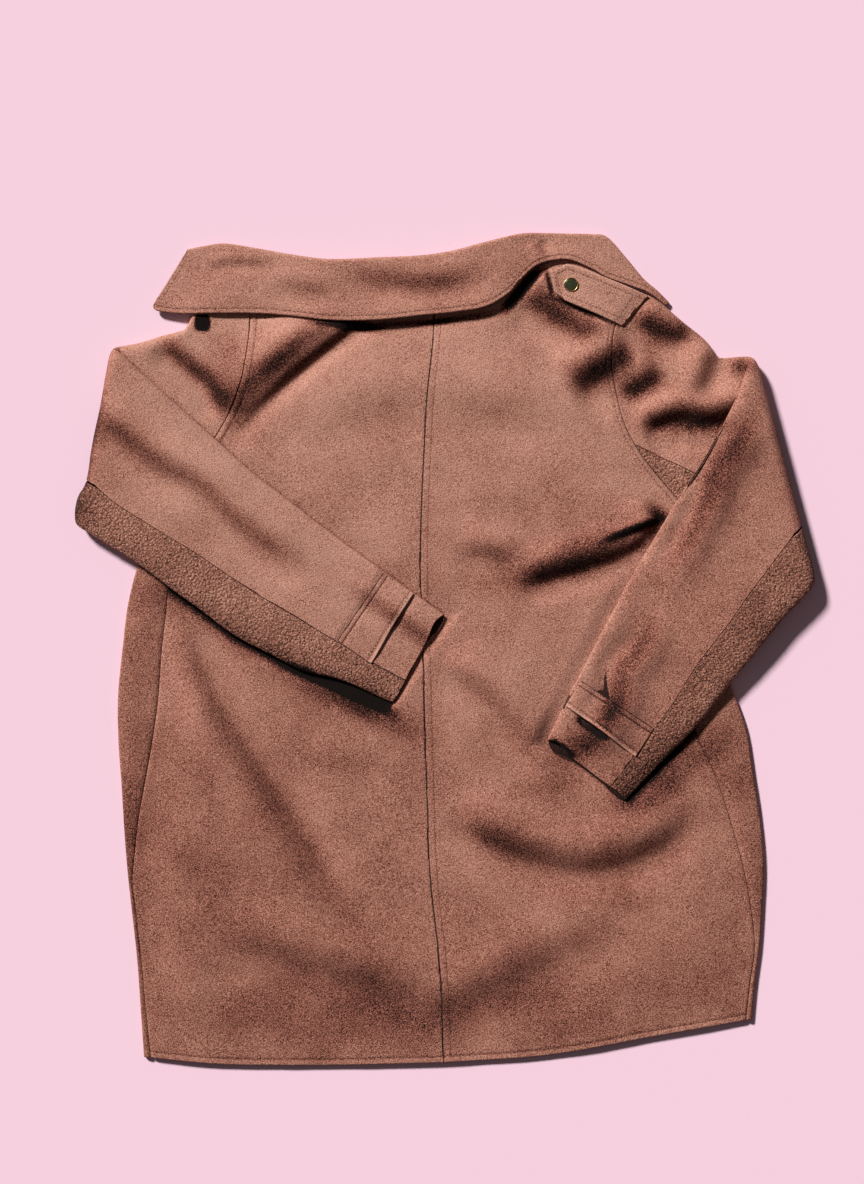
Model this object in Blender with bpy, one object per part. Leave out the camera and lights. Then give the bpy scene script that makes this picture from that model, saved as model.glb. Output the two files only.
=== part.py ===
"""A faux-suede coat laid flat on its front, back up, with both sleeves folded over the back.

Sizes are in millimetres until a mesh is made, and in metres from there on.
+X is to the right over the back, +Y towards the collar, +Z up from the surface it lies on.
"""

import math

import bpy
import numpy as np

MM = 0.001

# Cloth
CLOTH = 1.5  # wall of the suede cloth
DOUBLED = 2.5  # wall of the collar and the epaulette, which are two cloths thick
SEAM_GAP = 0.3  # between two pieces that are sewn together
CENTRE_GAP = 0.42  # between the two backs, whose seam is bent
ARMHOLE_GAP = 0.5  # between a sleeve and the armhole
LEAST_STRIP = 1.0  # width of the front's strip where the side seam runs along the edge
BEND_SEAM_GAP = 1.6  # where a seam runs along or across a tight turn
FLOOR_MID = CLOTH / 2  # height of the middle of a cloth that lies on the surface
EDGE_RADIUS = 2.3  # of the front where it turns up round the coat's side
STRIP_MID = FLOOR_MID + 2 * EDGE_RADIUS  # height of the front's strip beside the side seam

# Snap
SNAP_AT = (142.0, 402.5)
SNAP_RING_RADIUS = 8.0
SNAP_RING_BORE = 6.7
SNAP_CAP_RADIUS = 6.4
SNAP_HEIGHT = 1.6
SNAP_BEVEL = 0.4
SNAP_SHOULDER = 0.7  # height of the ring's straight outer wall

# Lapped centre of the fronts
LAP_EDGE = 60.0  # each front's edge past the middle
LAP_RISE = 1.9  # the left front lies this much higher over the right one
LAP_RAMP = 45.0  # width over which it rises, ahead of the right front's edge
NECKLINE_BOTTOM = 262.0
FRONT_NECK = {"left": (-122, 393), "right": (125, 421)}  # where the neck meets the shoulder

# Heights of the back's cloth, at its middle
LEAST_HEIGHT = 4.9  # on the fronts below it
TOP_HEIGHT = 4.4  # along its top edge
UNDER_SLEEVE_HEIGHT = 6.0  # the most, below a folded-back sleeve
UNDER_COLLAR_HEIGHT = 8.0  # the most, below the collar and the epaulette
FROM_SEAM = 60.0  # width over which it leaves the height of its side seam and armhole
FROM_TOP = 45.0  # and that of its top edge
BESIDE_SLEEVE = 36.0  # it lies as low as this far from a sleeve's edge
FROM_SLEEVE = 22.0  # and rises over this width from there
SHOULDER_FADE = 25.0  # width over which the shoulder's folds end at a seam
COLLAR_AT = 338.0  # where it starts to be low enough for the collar, as it runs up
COLLAR_EASE = 20.0  # how much higher it may be further down

# Cuff tabs
TAB_LIFT = 0.5  # above the sleeve at the sewn end
TAB_OPEN = 2.2  # further up at the free end
TAB_UPPER_INSET = 4.0  # from the sleeve's upper edge
TAB_LOWER_INSET = 2.0  # from the sleeve's seam


class Table:
    """Rows of named columns, read between the rows on a smooth curve through them."""

    def __init__(self, names, rows):
        self.names = names.split()
        self.rows = np.array(rows, float)

    def __getitem__(self, name):
        return self.rows[:, self.names.index(name)]

    def at(self, name, where):
        key = self.rows[:, 0]
        value = self[name]
        slope = np.gradient(value, key)
        where = np.clip(np.asarray(where, float), key[0], key[-1])
        i = np.clip(np.searchsorted(key, where) - 1, 0, len(key) - 2)
        step = key[i + 1] - key[i]
        t = (where - key[i]) / step
        rise = value[i] * (1 + 2 * t) * (1 - t) ** 2 + value[i + 1] * t * t * (3 - 2 * t)
        bend = slope[i] * t * (1 - t) ** 2 - slope[i + 1] * t * t * (1 - t)
        return rise + bend * step


# Body: the middle seam, and on each side the side seam, the outline and the back's height
CENTRE_SEAM = Table("y x", [
    (-457, 1), (-345, -4), (-266, -13), (-150, -18), (0, -22), (100, -25),
    (220, -21), (276, -18), (363, -10), (384, -10),
])
SIDE = {
    "left": Table("y seam outline", [
        (-451, -322, -329), (-395, -328, -333), (-342, -333, -337), (-289, -339, -343),
        (-254, -343, -347), (-233, -341, -349), (-194, -337, -352), (-147, -329, -355),
        (-108, -322, -358), (-56, -315, -359), (-1, -311, -354), (54, -305, -347),
        (110, -302, -330), (153, -301, -305.5),
    ]),
    "right": Table("y seam outline", [
        (-410, 334, 340), (-368, 339, 344), (-331, 344, 349), (-289, 340.5, 352),
        (-238, 331, 354), (-188, 317, 350), (-140, 301, 343), (-90, 279, 335),
        (-38, 274, 318), (10, 272, 309), (54, 271, 305), (98, 271, 300),
        (142, 271, 275.5),
    ]),
}
HEM = {
    "left": Table("across y", [(0, -456.5), (0.5, -459.5), (0.8, -457.5), (1, -451)]),
    "right": Table("across y", [(0, -456.5), (0.35, -448), (0.7, -427.5), (1, -410)]),
}
# From the middle of the neck to the shoulder's end, for the back
BACK_TOP = {
    "left": Table("across x y", [
        (0, -10, 381), (0.25, -57, 379), (0.5, -105, 391), (0.56, -120, 396), (1, -206, 391),
    ]),
    "right": Table("across x y", [
        (0, -10, 381), (0.22, 42, 389), (0.37, 77, 404), (0.5, 104, 421), (0.58, 123, 429),
        (1, 228, 388),
    ]),
}
BACK_HEIGHT = Table("y middle", [
    (-460, 4.6), (-440, 5.4), (-380, 9.0), (-250, 10.0), (-100, 9.3), (60, 9.3),
    (200, 10.0), (300, 10.0), (360, 8.0), (430, 4.6),
])

# Folds: width of the high side and of the low side, how far it drops from one to the other,
# the shares of its length that its start and its end take to fade in, and its spine. The high
# side is on the left as the spine runs, and on the right where the drop is negative.
BACK_FOLDS = {
    "elbow_crease": (16, 14, 8.0, 0.2, 0.1, [
        (72, 66), (120, 80), (180, 98), (232, 123), (258, 142),
    ]),
    "elbow_end": (15, 15, 4.0, 0.4, 0.4, [(10, 116), (48, 106), (73, 98), (100, 88)]),
    "left_diagonal": (22, 17, -8.0, 0.2, 0.4, [
        (-302, 75), (-270, -26), (-230, -97), (-187, -163), (-150, -223), (-96, -342),
    ]),
    "low_left": (24, 26, 6.0, 0.3, 0.3, [(-261, -304), (-164, -343), (-92, -364), (-5, -401)]),
    "low_right": (24, 26, 4.0, 0.3, 0.5, [(-46, -397), (61, -370), (122, -336), (218, -282)]),
    "smile": (23, 15, 8.0, 0.25, 0.25, [
        (-10, -160), (29, -187), (89, -217), (168, -235), (241, -211), (290, -160),
    ]),
    "waist_right": (17, 15, 6.0, 0.3, 0.35, [(-10, 5), (11, -24), (59, -61), (118, -145)]),
    "upper_arch": (26, 22, 2.2, 0.3, 0.3, [
        (-189, 224), (-167, 235), (-90, 263), (-19, 273), (59, 264), (130, 252), (174, 241),
    ]),
}
SHOULDER_FOLDS = {
    "left_valley": (28, 14, -9.0, 0.05, 0.3, [(-76, 374), (-101, 356), (-163, 308), (-217, 257)]),
    "right_upper": (20, 17, 7.0, 0.2, 0.25, [(88, 397), (97, 389), (130, 369), (178, 340)]),
    "right_armhole": (26, 20, 8.0, 0.3, 0.2, [(134, 282), (160, 298), (188, 313), (216, 331)]),
}

# Sleeves, in their own plane: along from the middle of the fold, across from the axis
FOLD_RADIUS = 6.2
FOLD_DEPTH = 5.0  # half depth of the flattened tube at the fold
FOLD_BASE = FLOOR_MID + FOLD_DEPTH + 0.05  # a hair above the surface
SLEEVE = {
    "left": {
        "middle": (-389.4, 235.4),
        "fold_along": (-0.2216, -0.9751),
        "slant": 0.393,
        "edges": Table("along upper lower seam", [
            (-197, -118, 86, 50), (-131, -117, 86, 50), (-114, -101, 86, 50), (-76, -96, 86, 50),
            (-36, -93, 91, 47), (0, -88, 93, 46), (66, -79, 91, 48), (114, -73, 88, 46),
            (174, -65, 90, 43), (209, -63, 91, 43), (256, -60, 93, 42), (299, -58, 88, 39),
            (341, -57, 82, 37), (372, -56, 70, 35), (437, -54.5, 57, 29), (446, -54, 55, 28),
        ]),
        "armhole": Table("across along", [
            (-120, -193), (-103, -191.5), (-64, -182), (-35, -172), (0, -151.5), (23, -133),
            (55, -103), (88, -76),
        ]),
        "cuff": (436, 0.08),
        "tab": (352, 395, -57, 33),
    },
    "right": {
        "middle": (379.5, 198.0),
        "fold_along": (0.2566, -0.9665),
        "slant": 0.897,
        "edges": Table("along upper lower seam", [
            (-240, -106, 88, 52), (-208, -104, 88, 52), (-182, -97, 88, 51), (-137, -86, 88, 50),
            (-120, -78, 88, 50), (-110, -83, 88, 49), (-93, -93, 88, 49), (-34, -87, 91, 49),
            (4, -83, 93, 48), (45, -80, 95, 48), (94, -80, 96, 45), (146, -78, 87, 42),
            (180, -77, 84, 41), (232, -73, 78, 37), (289, -67, 73, 38), (351, -61, 61, 34),
            (401, -54, 52, 31),
        ]),
        "armhole": Table("across along", [
            (-106, -222), (-57, -239), (-29, -229), (11, -202), (45, -168), (67, -129),
            (84, -89), (91, -76),
        ]),
        "cuff": (397, 0.08),
        "tab": (319, 354, -61, 34),
    },
}
# Heights along a sleeve, by the distance from the fold: middle and half depth of the tube
RETURN = {
    "left": Table("from_fold middle depth", [
        (0, 18.2, 5.0), (25, 18.2, 5.0), (100, 17.0, 4.5), (170, 14.6, 4.0), (230, 12.4, 3.7),
        (300, 11.8, 3.7), (370, 11.4, 3.4), (430, 11.4, 3.4),
    ]),
    "right": Table("from_fold middle depth", [
        (0, 18.2, 5.0), (25, 18.2, 5.0), (90, 16.4, 4.5), (150, 13.2, 3.8), (200, 11.9, 3.7),
        (240, 11.4, 3.4), (300, 11.4, 3.4),
    ]),
}
ARMHOLE_TOP = Table("fraction height", [(0, 4.4), (0.2, 6.2), (0.5, 7.0), (0.85, 6.0), (1, 4.2)])
ARMHOLE_EDGE = 3.5  # width of the round edge of the tube at the armhole
TUBE_EDGE = 12.0  # and further along

# Grid of each sleeve: places across its two sides, and rows along it
UNDER_COLUMNS = 3
UPPER_COLUMNS = 6
EDGE_STEPS = 4
IN_ROWS = 5
BEND_STEPS = 6
OUT_ROWS = 10

# Collar: its roll edge and its free edge, with heights, and the band that carries it
COLLAR = Table("step roll_x roll_y free_x free_y roll_z free_z bend", [
    (0, -284, 442, -325, 375, 5.2, 6.5, 1.9),
    (1, -264, 446, -293, 371, 5.2, 8.8, 1.9),
    (2, -242, 448.5, -255, 371, 6.0, 10.4, 1.9),
    (3, -205, 442.5, -210, 371, 8.5, 11.2, 2.3),
    (4, -167, 435.5, -167, 368, 11.4, 12.8, 3.0),
    (5, -125, 430.5, -125, 363, 11.8, 14.5, 3.2),
    (6, -70, 432.5, -72, 363, 11.8, 16.5, 3.2),
    (7, -26, 434.5, -25, 368, 11.8, 16.5, 3.2),
    (8, 9, 439.5, 15, 372, 11.8, 16.5, 3.2),
    (9, 43, 448.5, 48, 378, 11.6, 16.5, 3.1),
    (10, 70, 455.5, 73, 393, 10.6, 14.6, 2.8),
    (11, 90, 459.5, 90, 412, 9.0, 12.8, 2.4),
    (12, 112, 460, 108, 426, 7.0, 11.2, 2.0),
    (13, 140, 459.5, 138, 431, 5.6, 9.6, 1.9),
    (14, 165, 459, 165, 421, 5.2, 8.2, 1.9),
    (15, 182, 456, 182, 411.5, 5.2, 8.1, 1.9),
    (16, 203, 433, 203, 404, 5.2, 7.7, 1.9),
    (17, 222, 410, 221, 397.5, 5.2, 7.0, 1.9),
    (18, 237, 397, 233.5, 390.5, 5.2, 6.6, 1.9),
])
COLLAR_END = 18.0  # the last step
STAND = Table("step neck_x neck_y", [
    (4, -132, 391), (5, -100, 385), (6, -57, 375), (7, -20, 376), (8, 10, 379),
    (9, 45, 386), (10, 73, 399), (10.5, 84, 406),
])
STAND_STEPS = (4, 10.5)
STAND_NECK_Z = 6.4  # it lies on the back's neck edge
COLLAR_COLUMNS = 5

# Epaulette, from the armhole to its slanted tip
EPAULETTE = Table("step upper_x upper_y lower_x lower_y height", [
    (0, 228, 391, 199, 357, 9.7), (1, 185, 409, 172, 369.5, 10.5), (2, 142, 425, 142, 382, 11.1),
    (3, 130, 421.5, 132, 387, 11.3), (4, 118.5, 417.5, 124, 393.5, 11.4),
])

COLOURS = {
    "back": (0.40, 0.185, 0.13),
    "front": (0.33, 0.145, 0.10),
    "sleeve_upper": (0.37, 0.165, 0.12),
    "sleeve_under": (0.20, 0.075, 0.05),
    "collar": (0.42, 0.195, 0.145),
    "epaulette": (0.45, 0.23, 0.17),
    "cuff_tab": (0.36, 0.16, 0.115),
    "brass": (0.55, 0.40, 0.16),
    "olive": (0.05, 0.06, 0.025),
}


def smooth(t):
    t = np.clip(t, 0.0, 1.0)
    return t * t * (3 - 2 * t)


def mix(a, b, t):
    return a + (b - a) * t


# ---------------------------------------------------------------- materials and meshes


def material(name, roughness=0.9, metallic=0.0):
    made = bpy.data.materials.get(name) or bpy.data.materials.new(name)
    made.use_nodes = True
    shader = made.node_tree.nodes["Principled BSDF"]
    shader.inputs["Base Color"].default_value = (*COLOURS[name], 1)
    shader.inputs["Roughness"].default_value = roughness
    shader.inputs["Metallic"].default_value = metallic
    return made


def cloth_piece(name, points, look, thickness=CLOTH, missing=()):
    """A wall of cloth through a grid of points, rows by columns, given at its middle.

    missing holds the (row, column) of grid squares that the piece leaves out.
    """
    rows, columns = points.shape[:2]
    squares = [
        (r, c) for r in range(rows - 1) for c in range(columns - 1) if (r, c) not in missing
    ]
    corners = [
        [r * columns + c, r * columns + c + 1, (r + 1) * columns + c + 1, (r + 1) * columns + c]
        for r, c in squares
    ]
    used = sorted({i for face in corners for i in face})
    index = {old: new for new, old in enumerate(used)}
    places = points.reshape(-1, 3)[used] * MM
    mesh = bpy.data.meshes.new(name)
    mesh.from_pydata(places.tolist(), [], [[index[i] for i in face] for face in corners])
    mesh.shade_smooth()
    mesh.set_sharp_from_angle(angle=math.radians(50))
    mesh.materials.append(material(look))
    piece = bpy.data.objects.new(name, mesh)
    piece.parent = bpy.data.objects["coat"]
    bpy.context.scene.collection.objects.link(piece)
    wall = piece.modifiers.new("wall", "SOLIDIFY")
    wall.thickness = thickness * MM
    wall.offset = 0
    wall.use_even_offset = True
    wall.use_quality_normals = True
    return piece


# ---------------------------------------------------------------- folds


def along_curve(spine, steps=6):
    """Points on a smooth curve through the spine's points."""
    spine = np.array(spine, float)
    key = np.arange(len(spine))
    fine = np.linspace(0, len(spine) - 1, (len(spine) - 1) * steps + 1)
    table = Table("t x y", np.column_stack([key, spine]).tolist())
    return np.column_stack([table.at("x", fine), table.at("y", fine)])


def curve_frame(x, y, curve):
    """Distance from the curve, positive on its left as it runs, and the share of its length."""
    best = np.full(np.shape(x), 1e9)
    signed = np.zeros(np.shape(x))
    share = np.zeros(np.shape(x))
    lengths = np.hypot(*np.diff(curve, axis=0).T)
    starts = np.concatenate([[0], np.cumsum(lengths)])
    for i, ((ax, ay), (bx, by)) in enumerate(zip(curve[:-1], curve[1:])):
        dx, dy = bx - ax, by - ay
        t = np.clip(((x - ax) * dx + (y - ay) * dy) / (dx * dx + dy * dy), 0, 1)
        away = np.hypot(x - ax - t * dx, y - ay - t * dy)
        side = np.sign(dx * (y - ay) - dy * (x - ax))
        nearer = away < best
        best = np.where(nearer, away, best)
        signed = np.where(nearer, away * side, signed)
        share = np.where(nearer, (starts[i] + t * lengths[i]) / starts[-1], share)
    return signed, share


def fold_relief(x, y, folds):
    """Height that the folds add to the cloth at each place."""
    height = np.zeros(np.shape(x))
    for high_width, low_width, drop, start_fade, end_fade, spine in folds.values():
        signed, share = curve_frame(x, y, along_curve(spine))
        signed = signed * np.sign(drop)
        width = np.where(signed > 0, high_width, low_width)
        away = signed / width
        strength = smooth(share / start_fade) * smooth((1 - share) / end_fade)
        size = abs(drop) * width / high_width
        height += size * strength * away * np.exp(0.5 - away * away / 2)
    return height


# ---------------------------------------------------------------- sleeves


def sleeve_plane(sleeve, along, across):
    """Distance past the fold line, and place along it."""
    length = math.hypot(1, sleeve["slant"])
    return (along - sleeve["slant"] * across) / length, (sleeve["slant"] * along + across) / length


def sleeve_place(side, along, across, depth, lift=0.0):
    """A point of the folded sleeve. depth is measured up in the part that leaves the armhole."""
    sleeve = SLEEVE[side]
    past, down = sleeve_plane(sleeve, along, across)
    fold_x, fold_y = sleeve["fold_along"]
    out_x, out_y = (fold_y, -fold_x) if side == "left" else (-fold_y, fold_x)
    half_turn = math.pi * FOLD_RADIUS / 2
    slack = half_turn - FOLD_RADIUS - FOLD_DEPTH
    angle = np.clip((past + half_turn) / FOLD_RADIUS, 0, math.pi)
    reach = FOLD_RADIUS - depth
    bend_out = reach * np.sin(angle) - FOLD_RADIUS - FOLD_DEPTH
    bend_up = FOLD_BASE + FOLD_RADIUS - reach * np.cos(angle)
    out = np.where(past > half_turn, slack - past, bend_out)
    out = np.where(past < -half_turn, past + slack, out)
    up = np.where(past < -half_turn, FOLD_BASE + depth, bend_up)
    up = np.where(past > half_turn, RETURN[side].at("middle", past) - depth, up) + lift
    x = sleeve["middle"][0] + out * out_x + down * fold_x
    y = sleeve["middle"][1] + out * out_y + down * fold_y
    return np.stack([x, y, up], axis=-1)


def sleeve_row(side, row):
    """For one row of the sleeve, the place along it as a function of the place across it."""
    sleeve = SLEEVE[side]
    length = math.hypot(1, sleeve["slant"])
    half_turn = math.pi * FOLD_RADIUS / 2
    cuff, cuff_slant = sleeve["cuff"]

    def bend(across, past):
        return past * length + sleeve["slant"] * across

    def place(across):
        if row <= IN_ROWS:
            hole = sleeve["armhole"]
            lean = (hole.at("along", across + 1) - hole.at("along", across - 1)) / 2
            start = hole.at("along", across) + ARMHOLE_GAP * np.hypot(1, lean)
            return mix(start, bend(across, -half_turn), row / IN_ROWS)
        if row <= IN_ROWS + BEND_STEPS:
            turned = (row - IN_ROWS) / BEND_STEPS
            return bend(across, half_turn * (2 * turned - 1))
        t = (row - IN_ROWS - BEND_STEPS) / OUT_ROWS
        return mix(bend(across, half_turn), cuff + cuff_slant * across, t)

    return place


def sleeve_edges(side, place):
    """Where a row meets the tube's upper and lower edge and its seam."""
    found = []
    for name in ("upper", "lower", "seam"):
        across = np.float64(0)
        for _ in range(12):
            across = SLEEVE[side]["edges"].at(name, place(across))
        found.append(across)
    return found


def stations(upper, lower, seam, edge):
    """Places across one side of the tube: from the lower round edge up to the upper one."""
    under = np.linspace(lower - edge, seam, UNDER_COLUMNS + 1)
    over = np.linspace(seam, upper + edge, UPPER_COLUMNS + 1)
    return under, over


def armhole_stations(side):
    """Across-places where the armhole's points lie, from the underarm to the shoulder."""
    upper, lower, seam = sleeve_edges(side, sleeve_row(side, 0))
    under, over = stations(upper, lower, seam, ARMHOLE_EDGE)
    return np.concatenate([under, over[1:]])


def armhole_height(side, across):
    ends = armhole_stations(side)
    return ARMHOLE_TOP.at("height", (across - ends[0]) / (ends[-1] - ends[0]))


def armhole_point(side, across):
    along = SLEEVE[side]["armhole"].at("along", across)
    return sleeve_place(side, along, across, 0.0)[:2]


def sleeve_ring(side, row):
    """One row: points of the upper sleeve and of the under-sleeve, round the tube."""
    place = sleeve_row(side, row)
    upper, lower, seam = sleeve_edges(side, place)
    leaving = min(row / IN_ROWS, 1.0)
    edge = mix(ARMHOLE_EDGE, TUBE_EDGE, float(smooth(leaving)))
    under, over = stations(upper, lower, seam, edge)
    arc = np.linspace(0, math.pi, EDGE_STEPS + 1)[1:-1]
    upper_arc = upper + edge - edge * np.sin(arc)
    lower_arc = lower - edge + edge * np.sin(arc)
    in_bend = IN_ROWS <= row <= IN_ROWS + BEND_STEPS
    gap = BEND_SEAM_GAP / 2 if in_bend else SEAM_GAP / 2
    over[0] -= gap
    under[-1] += gap
    across_over = np.concatenate([over, upper_arc, over[::-1]])
    turn_over = np.concatenate([0 * over, arc, math.pi + 0 * over])
    across_under = np.concatenate([under[::-1], lower_arc, under])
    turn_under = np.concatenate([0 * under, arc, math.pi + 0 * under])
    rings = []
    for across, turn in ((across_over, turn_over), (across_under, turn_under)):
        along = place(across)
        past, _ = sleeve_plane(SLEEVE[side], along, across)
        half = np.where(past > 0, RETURN[side].at("depth", past), FOLD_DEPTH)
        depth = half * np.cos(turn)
        points = sleeve_place(side, along, across, depth)
        if row < IN_ROWS:
            flat = FOLD_BASE - FOLD_DEPTH
            rise = (armhole_height(side, across) - flat) * (1 + np.cos(turn)) / 2
            start = flat + rise
            points[:, 2] = mix(start, points[:, 2], float(smooth(leaving)))
        rings.append(points)
    return rings


def build_sleeve(side):
    rows = range(IN_ROWS + BEND_STEPS + OUT_ROWS + 1)
    rings = [sleeve_ring(side, row) for row in rows]
    upper = np.array([ring[0] for ring in rings])
    under = np.array([ring[1] for ring in rings])
    cloth_piece(f"sleeve_upper_{side}", upper, "sleeve_upper")
    cloth_piece(f"sleeve_under_{side}", under, "sleeve_under")


def build_cuff_tab(side, columns=5, rows=3):
    """A flap that lies on the upper sleeve, sewn at one end and lifting at the other."""
    start, end, upper, lower = SLEEVE[side]["tab"]
    across = np.linspace(upper + TAB_UPPER_INSET, lower - TAB_LOWER_INSET, columns + 1)
    points = []
    for t in np.linspace(0, 1, rows + 1):
        along = np.full(columns + 1, mix(start, end, t))
        past, _ = sleeve_plane(SLEEVE[side], along, across)
        above = CLOTH + TAB_LIFT + TAB_OPEN * smooth(t)
        points.append(sleeve_place(side, along, across, -RETURN[side].at("depth", past), above))
    cloth_piece(f"cuff_tab_{side}", np.array(points), "cuff_tab")


# ---------------------------------------------------------------- back and fronts


def near_sleeve(side, x, y):
    """1 under the folded-back sleeve and close beside it, 0 away from it."""
    sleeve = SLEEVE[side]
    fold_x, fold_y = sleeve["fold_along"]
    out_x, out_y = (fold_y, -fold_x) if side == "left" else (-fold_y, fold_x)
    from_x = x - sleeve["middle"][0]
    from_y = y - sleeve["middle"][1]
    past = -(from_x * out_x + from_y * out_y)
    down = from_x * fold_x + from_y * fold_y
    length = math.hypot(1, sleeve["slant"])
    along = (past + sleeve["slant"] * down) / length
    across = (down - sleeve["slant"] * past) / length
    above = across - sleeve["edges"].at("upper", along)
    below = sleeve["edges"].at("lower", along) - across
    before = sleeve["cuff"][0] - along
    inside = np.minimum(np.minimum(above, below), before)
    return smooth((inside + BESIDE_SLEEVE + FROM_SLEEVE) / FROM_SLEEVE)


def back_height(x, y):
    """Height of the middle of the back's cloth, away from its edges."""
    height = BACK_HEIGHT.at("middle", y) + fold_relief(x, y, BACK_FOLDS)
    height = np.maximum(height, LEAST_HEIGHT)
    for side in ("left", "right"):
        under = near_sleeve(side, x, y)
        height = mix(height, np.minimum(height, UNDER_SLEEVE_HEIGHT), under)
    return height


def body_rows(side):
    """Outer points of the body's rows: up the side seam, then up the armhole."""
    levels = SIDE[side]["y"]
    seam = np.column_stack([SIDE[side].at("seam", levels), levels])
    hole = np.array([armhole_point(side, across) for across in armhole_stations(side)])
    return seam, hole


def patch(outer, inner, bottom, top, columns, top_pull):
    """Rows from inner to outer points, bent near the two ends to follow bottom and top.

    The larger top_pull is, the fewer rows below the top one bend with it.
    """
    share = (outer[:, 1] - outer[0, 1]) / (outer[-1, 1] - outer[0, 1])
    across = np.linspace(0, 1, columns + 1)
    rows = []
    for place, start, end in zip(share, inner, outer):
        line = start + (end - start) * across[:, None]
        low = bottom(across) - (inner[0] + (outer[0] - inner[0]) * across[:, None])
        high = top(across) - (inner[-1] + (outer[-1] - inner[-1]) * across[:, None])
        rows.append(line + low * (1 - place) ** 3 + high * place**top_pull)
    return np.array(rows)


def build_back(side, columns=11):
    seam, hole = body_rows(side)
    outer = np.concatenate([seam, hole])
    sign = -1 if side == "left" else 1
    share = (outer[:, 1] - outer[0, 1]) / (outer[-1, 1] - outer[0, 1])
    middle_y = mix(HEM[side]["y"][0], BACK_TOP[side]["y"][0], share)
    inner = np.column_stack([CENTRE_SEAM.at("x", middle_y) + sign * CENTRE_GAP / 2, middle_y])
    top_end = outer[-1]

    def hem(across):
        x = mix(inner[0, 0], outer[0, 0], across)
        return np.column_stack([x, HEM[side].at("y", across)])

    def neck(across):
        x = BACK_TOP[side].at("x", across) + (inner[-1, 0] - CENTRE_SEAM.at("x", middle_y[-1]))
        y = BACK_TOP[side].at("y", across)
        ends = np.column_stack([x - x[-1] + top_end[0], y - y[-1] + top_end[1]])
        return mix(np.column_stack([x, y]), ends, across[:, None])

    plan = patch(outer, inner, hem, neck, columns, 4)
    height = back_height(plan[..., 0], plan[..., 1])
    to_edge = np.hypot(*(plan - outer[:, None, :]).transpose(2, 0, 1))
    edge_height = np.concatenate([
        np.full(len(seam), STRIP_MID), [armhole_height(side, a) for a in armhole_stations(side)],
    ])
    height = mix(edge_height[:, None], height, smooth(to_edge / FROM_SEAM))
    from_top = np.hypot(*(plan - plan[-1][None, :, :]).transpose(2, 0, 1))
    height = mix(TOP_HEIGHT, height, smooth(from_top / FROM_TOP))
    fade = smooth(to_edge / SHOULDER_FADE) * smooth(from_top / SHOULDER_FADE)
    height += fold_relief(plan[..., 0], plan[..., 1], SHOULDER_FOLDS) * fade
    ceiling = UNDER_COLLAR_HEIGHT + COLLAR_EASE * smooth((COLLAR_AT - plan[..., 1]) / FROM_TOP)
    height = np.clip(height, TOP_HEIGHT, ceiling)
    height[:, -1] = edge_height
    points = np.concatenate([plan, height[..., None]], axis=-1)
    # the seams beside it: the side seam and the armhole
    points[: len(seam), -1, 0] -= sign * SEAM_GAP
    cloth_piece(f"back_{side}", points, "back")


def build_front(side, columns=8):
    """The front lies on the surface and turns up round the coat's side to the side seam."""
    seam, hole = body_rows(side)
    sign, other = (-1, "right") if side == "left" else (1, "left")
    levels = seam[:, 1]
    outline = SIDE[side].at("outline", levels)
    turn_x = outline - sign * EDGE_RADIUS
    outer = np.concatenate([np.column_stack([turn_x, levels]), hole])
    share = (outer[:, 1] - outer[0, 1]) / (outer[-1, 1] - outer[0, 1])
    lap = -sign * LAP_EDGE
    middle_y = mix(HEM[side]["y"][0], NECKLINE_BOTTOM, share)
    inner = np.column_stack([np.full(len(outer), lap), middle_y])
    neck_x, neck_y = FRONT_NECK[side]
    neck = Table("across x y", [
        (0, lap, NECKLINE_BOTTOM), (0.3, mix(lap, neck_x, 0.6), mix(NECKLINE_BOTTOM, neck_y, 0.3)),
        (0.58, neck_x, neck_y), (1, *outer[-1]),
    ])

    def hem(across):
        x = mix(lap, outer[0, 0], across)
        own = HEM[side].at("y", x / outer[0, 0])
        lapped = HEM[other].at("y", x / SIDE[other]["outline"][0])
        return np.column_stack([x, np.where(x * sign > 0, own, lapped)])

    def top(across):
        return np.column_stack([neck.at("x", across), neck.at("y", across)])

    plan = patch(outer, inner, hem, top, columns, 9)
    height = np.full(plan.shape[:2], FLOOR_MID)
    if side == "left":
        height += LAP_RISE * smooth((plan[..., 0] + LAP_EDGE + 2 * LAP_RAMP) / LAP_RAMP)
    flat = np.concatenate([plan, height[..., None]], axis=-1)
    angles = np.linspace(-math.pi / 2, math.pi / 2, 6)[1:]
    wrapped = []
    for row in range(len(outer)):
        at = min(row, len(levels) - 1)
        around = [
            (turn_x[at] + sign * EDGE_RADIUS * math.cos(a), levels[at],
             FLOOR_MID + EDGE_RADIUS * (1 + math.sin(a)))
            for a in angles
        ]
        seam_x = seam[at, 0] + sign * SEAM_GAP
        if (turn_x[at] - seam_x) * sign < LEAST_STRIP:
            seam_x = turn_x[at] - sign * LEAST_STRIP
        strip = [(mix(turn_x[at], seam_x, t), levels[at], STRIP_MID) for t in (0.5, 1.0)]
        wrapped.append(around + strip)
    points = np.concatenate([flat, np.array(wrapped)], axis=1)
    missing = {
        (row, column)
        for row in range(len(levels) - 1, len(outer) - 1)
        for column in range(columns, points.shape[1] - 1)
    }
    cloth_piece(f"front_{side}", points, "front", missing=missing)


# ---------------------------------------------------------------- collar and epaulette


def collar_frame(step):
    """The collar's row at a step, its roll and free edge in plan, and the way between them."""
    row = {name: float(COLLAR.at(name, step)) for name in COLLAR.names[1:]}
    roll = np.array([row["roll_x"], row["roll_y"]])
    free = np.array([row["free_x"], row["free_y"]])
    return row, roll, free, (free - roll) / np.hypot(*(free - roll))


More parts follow.
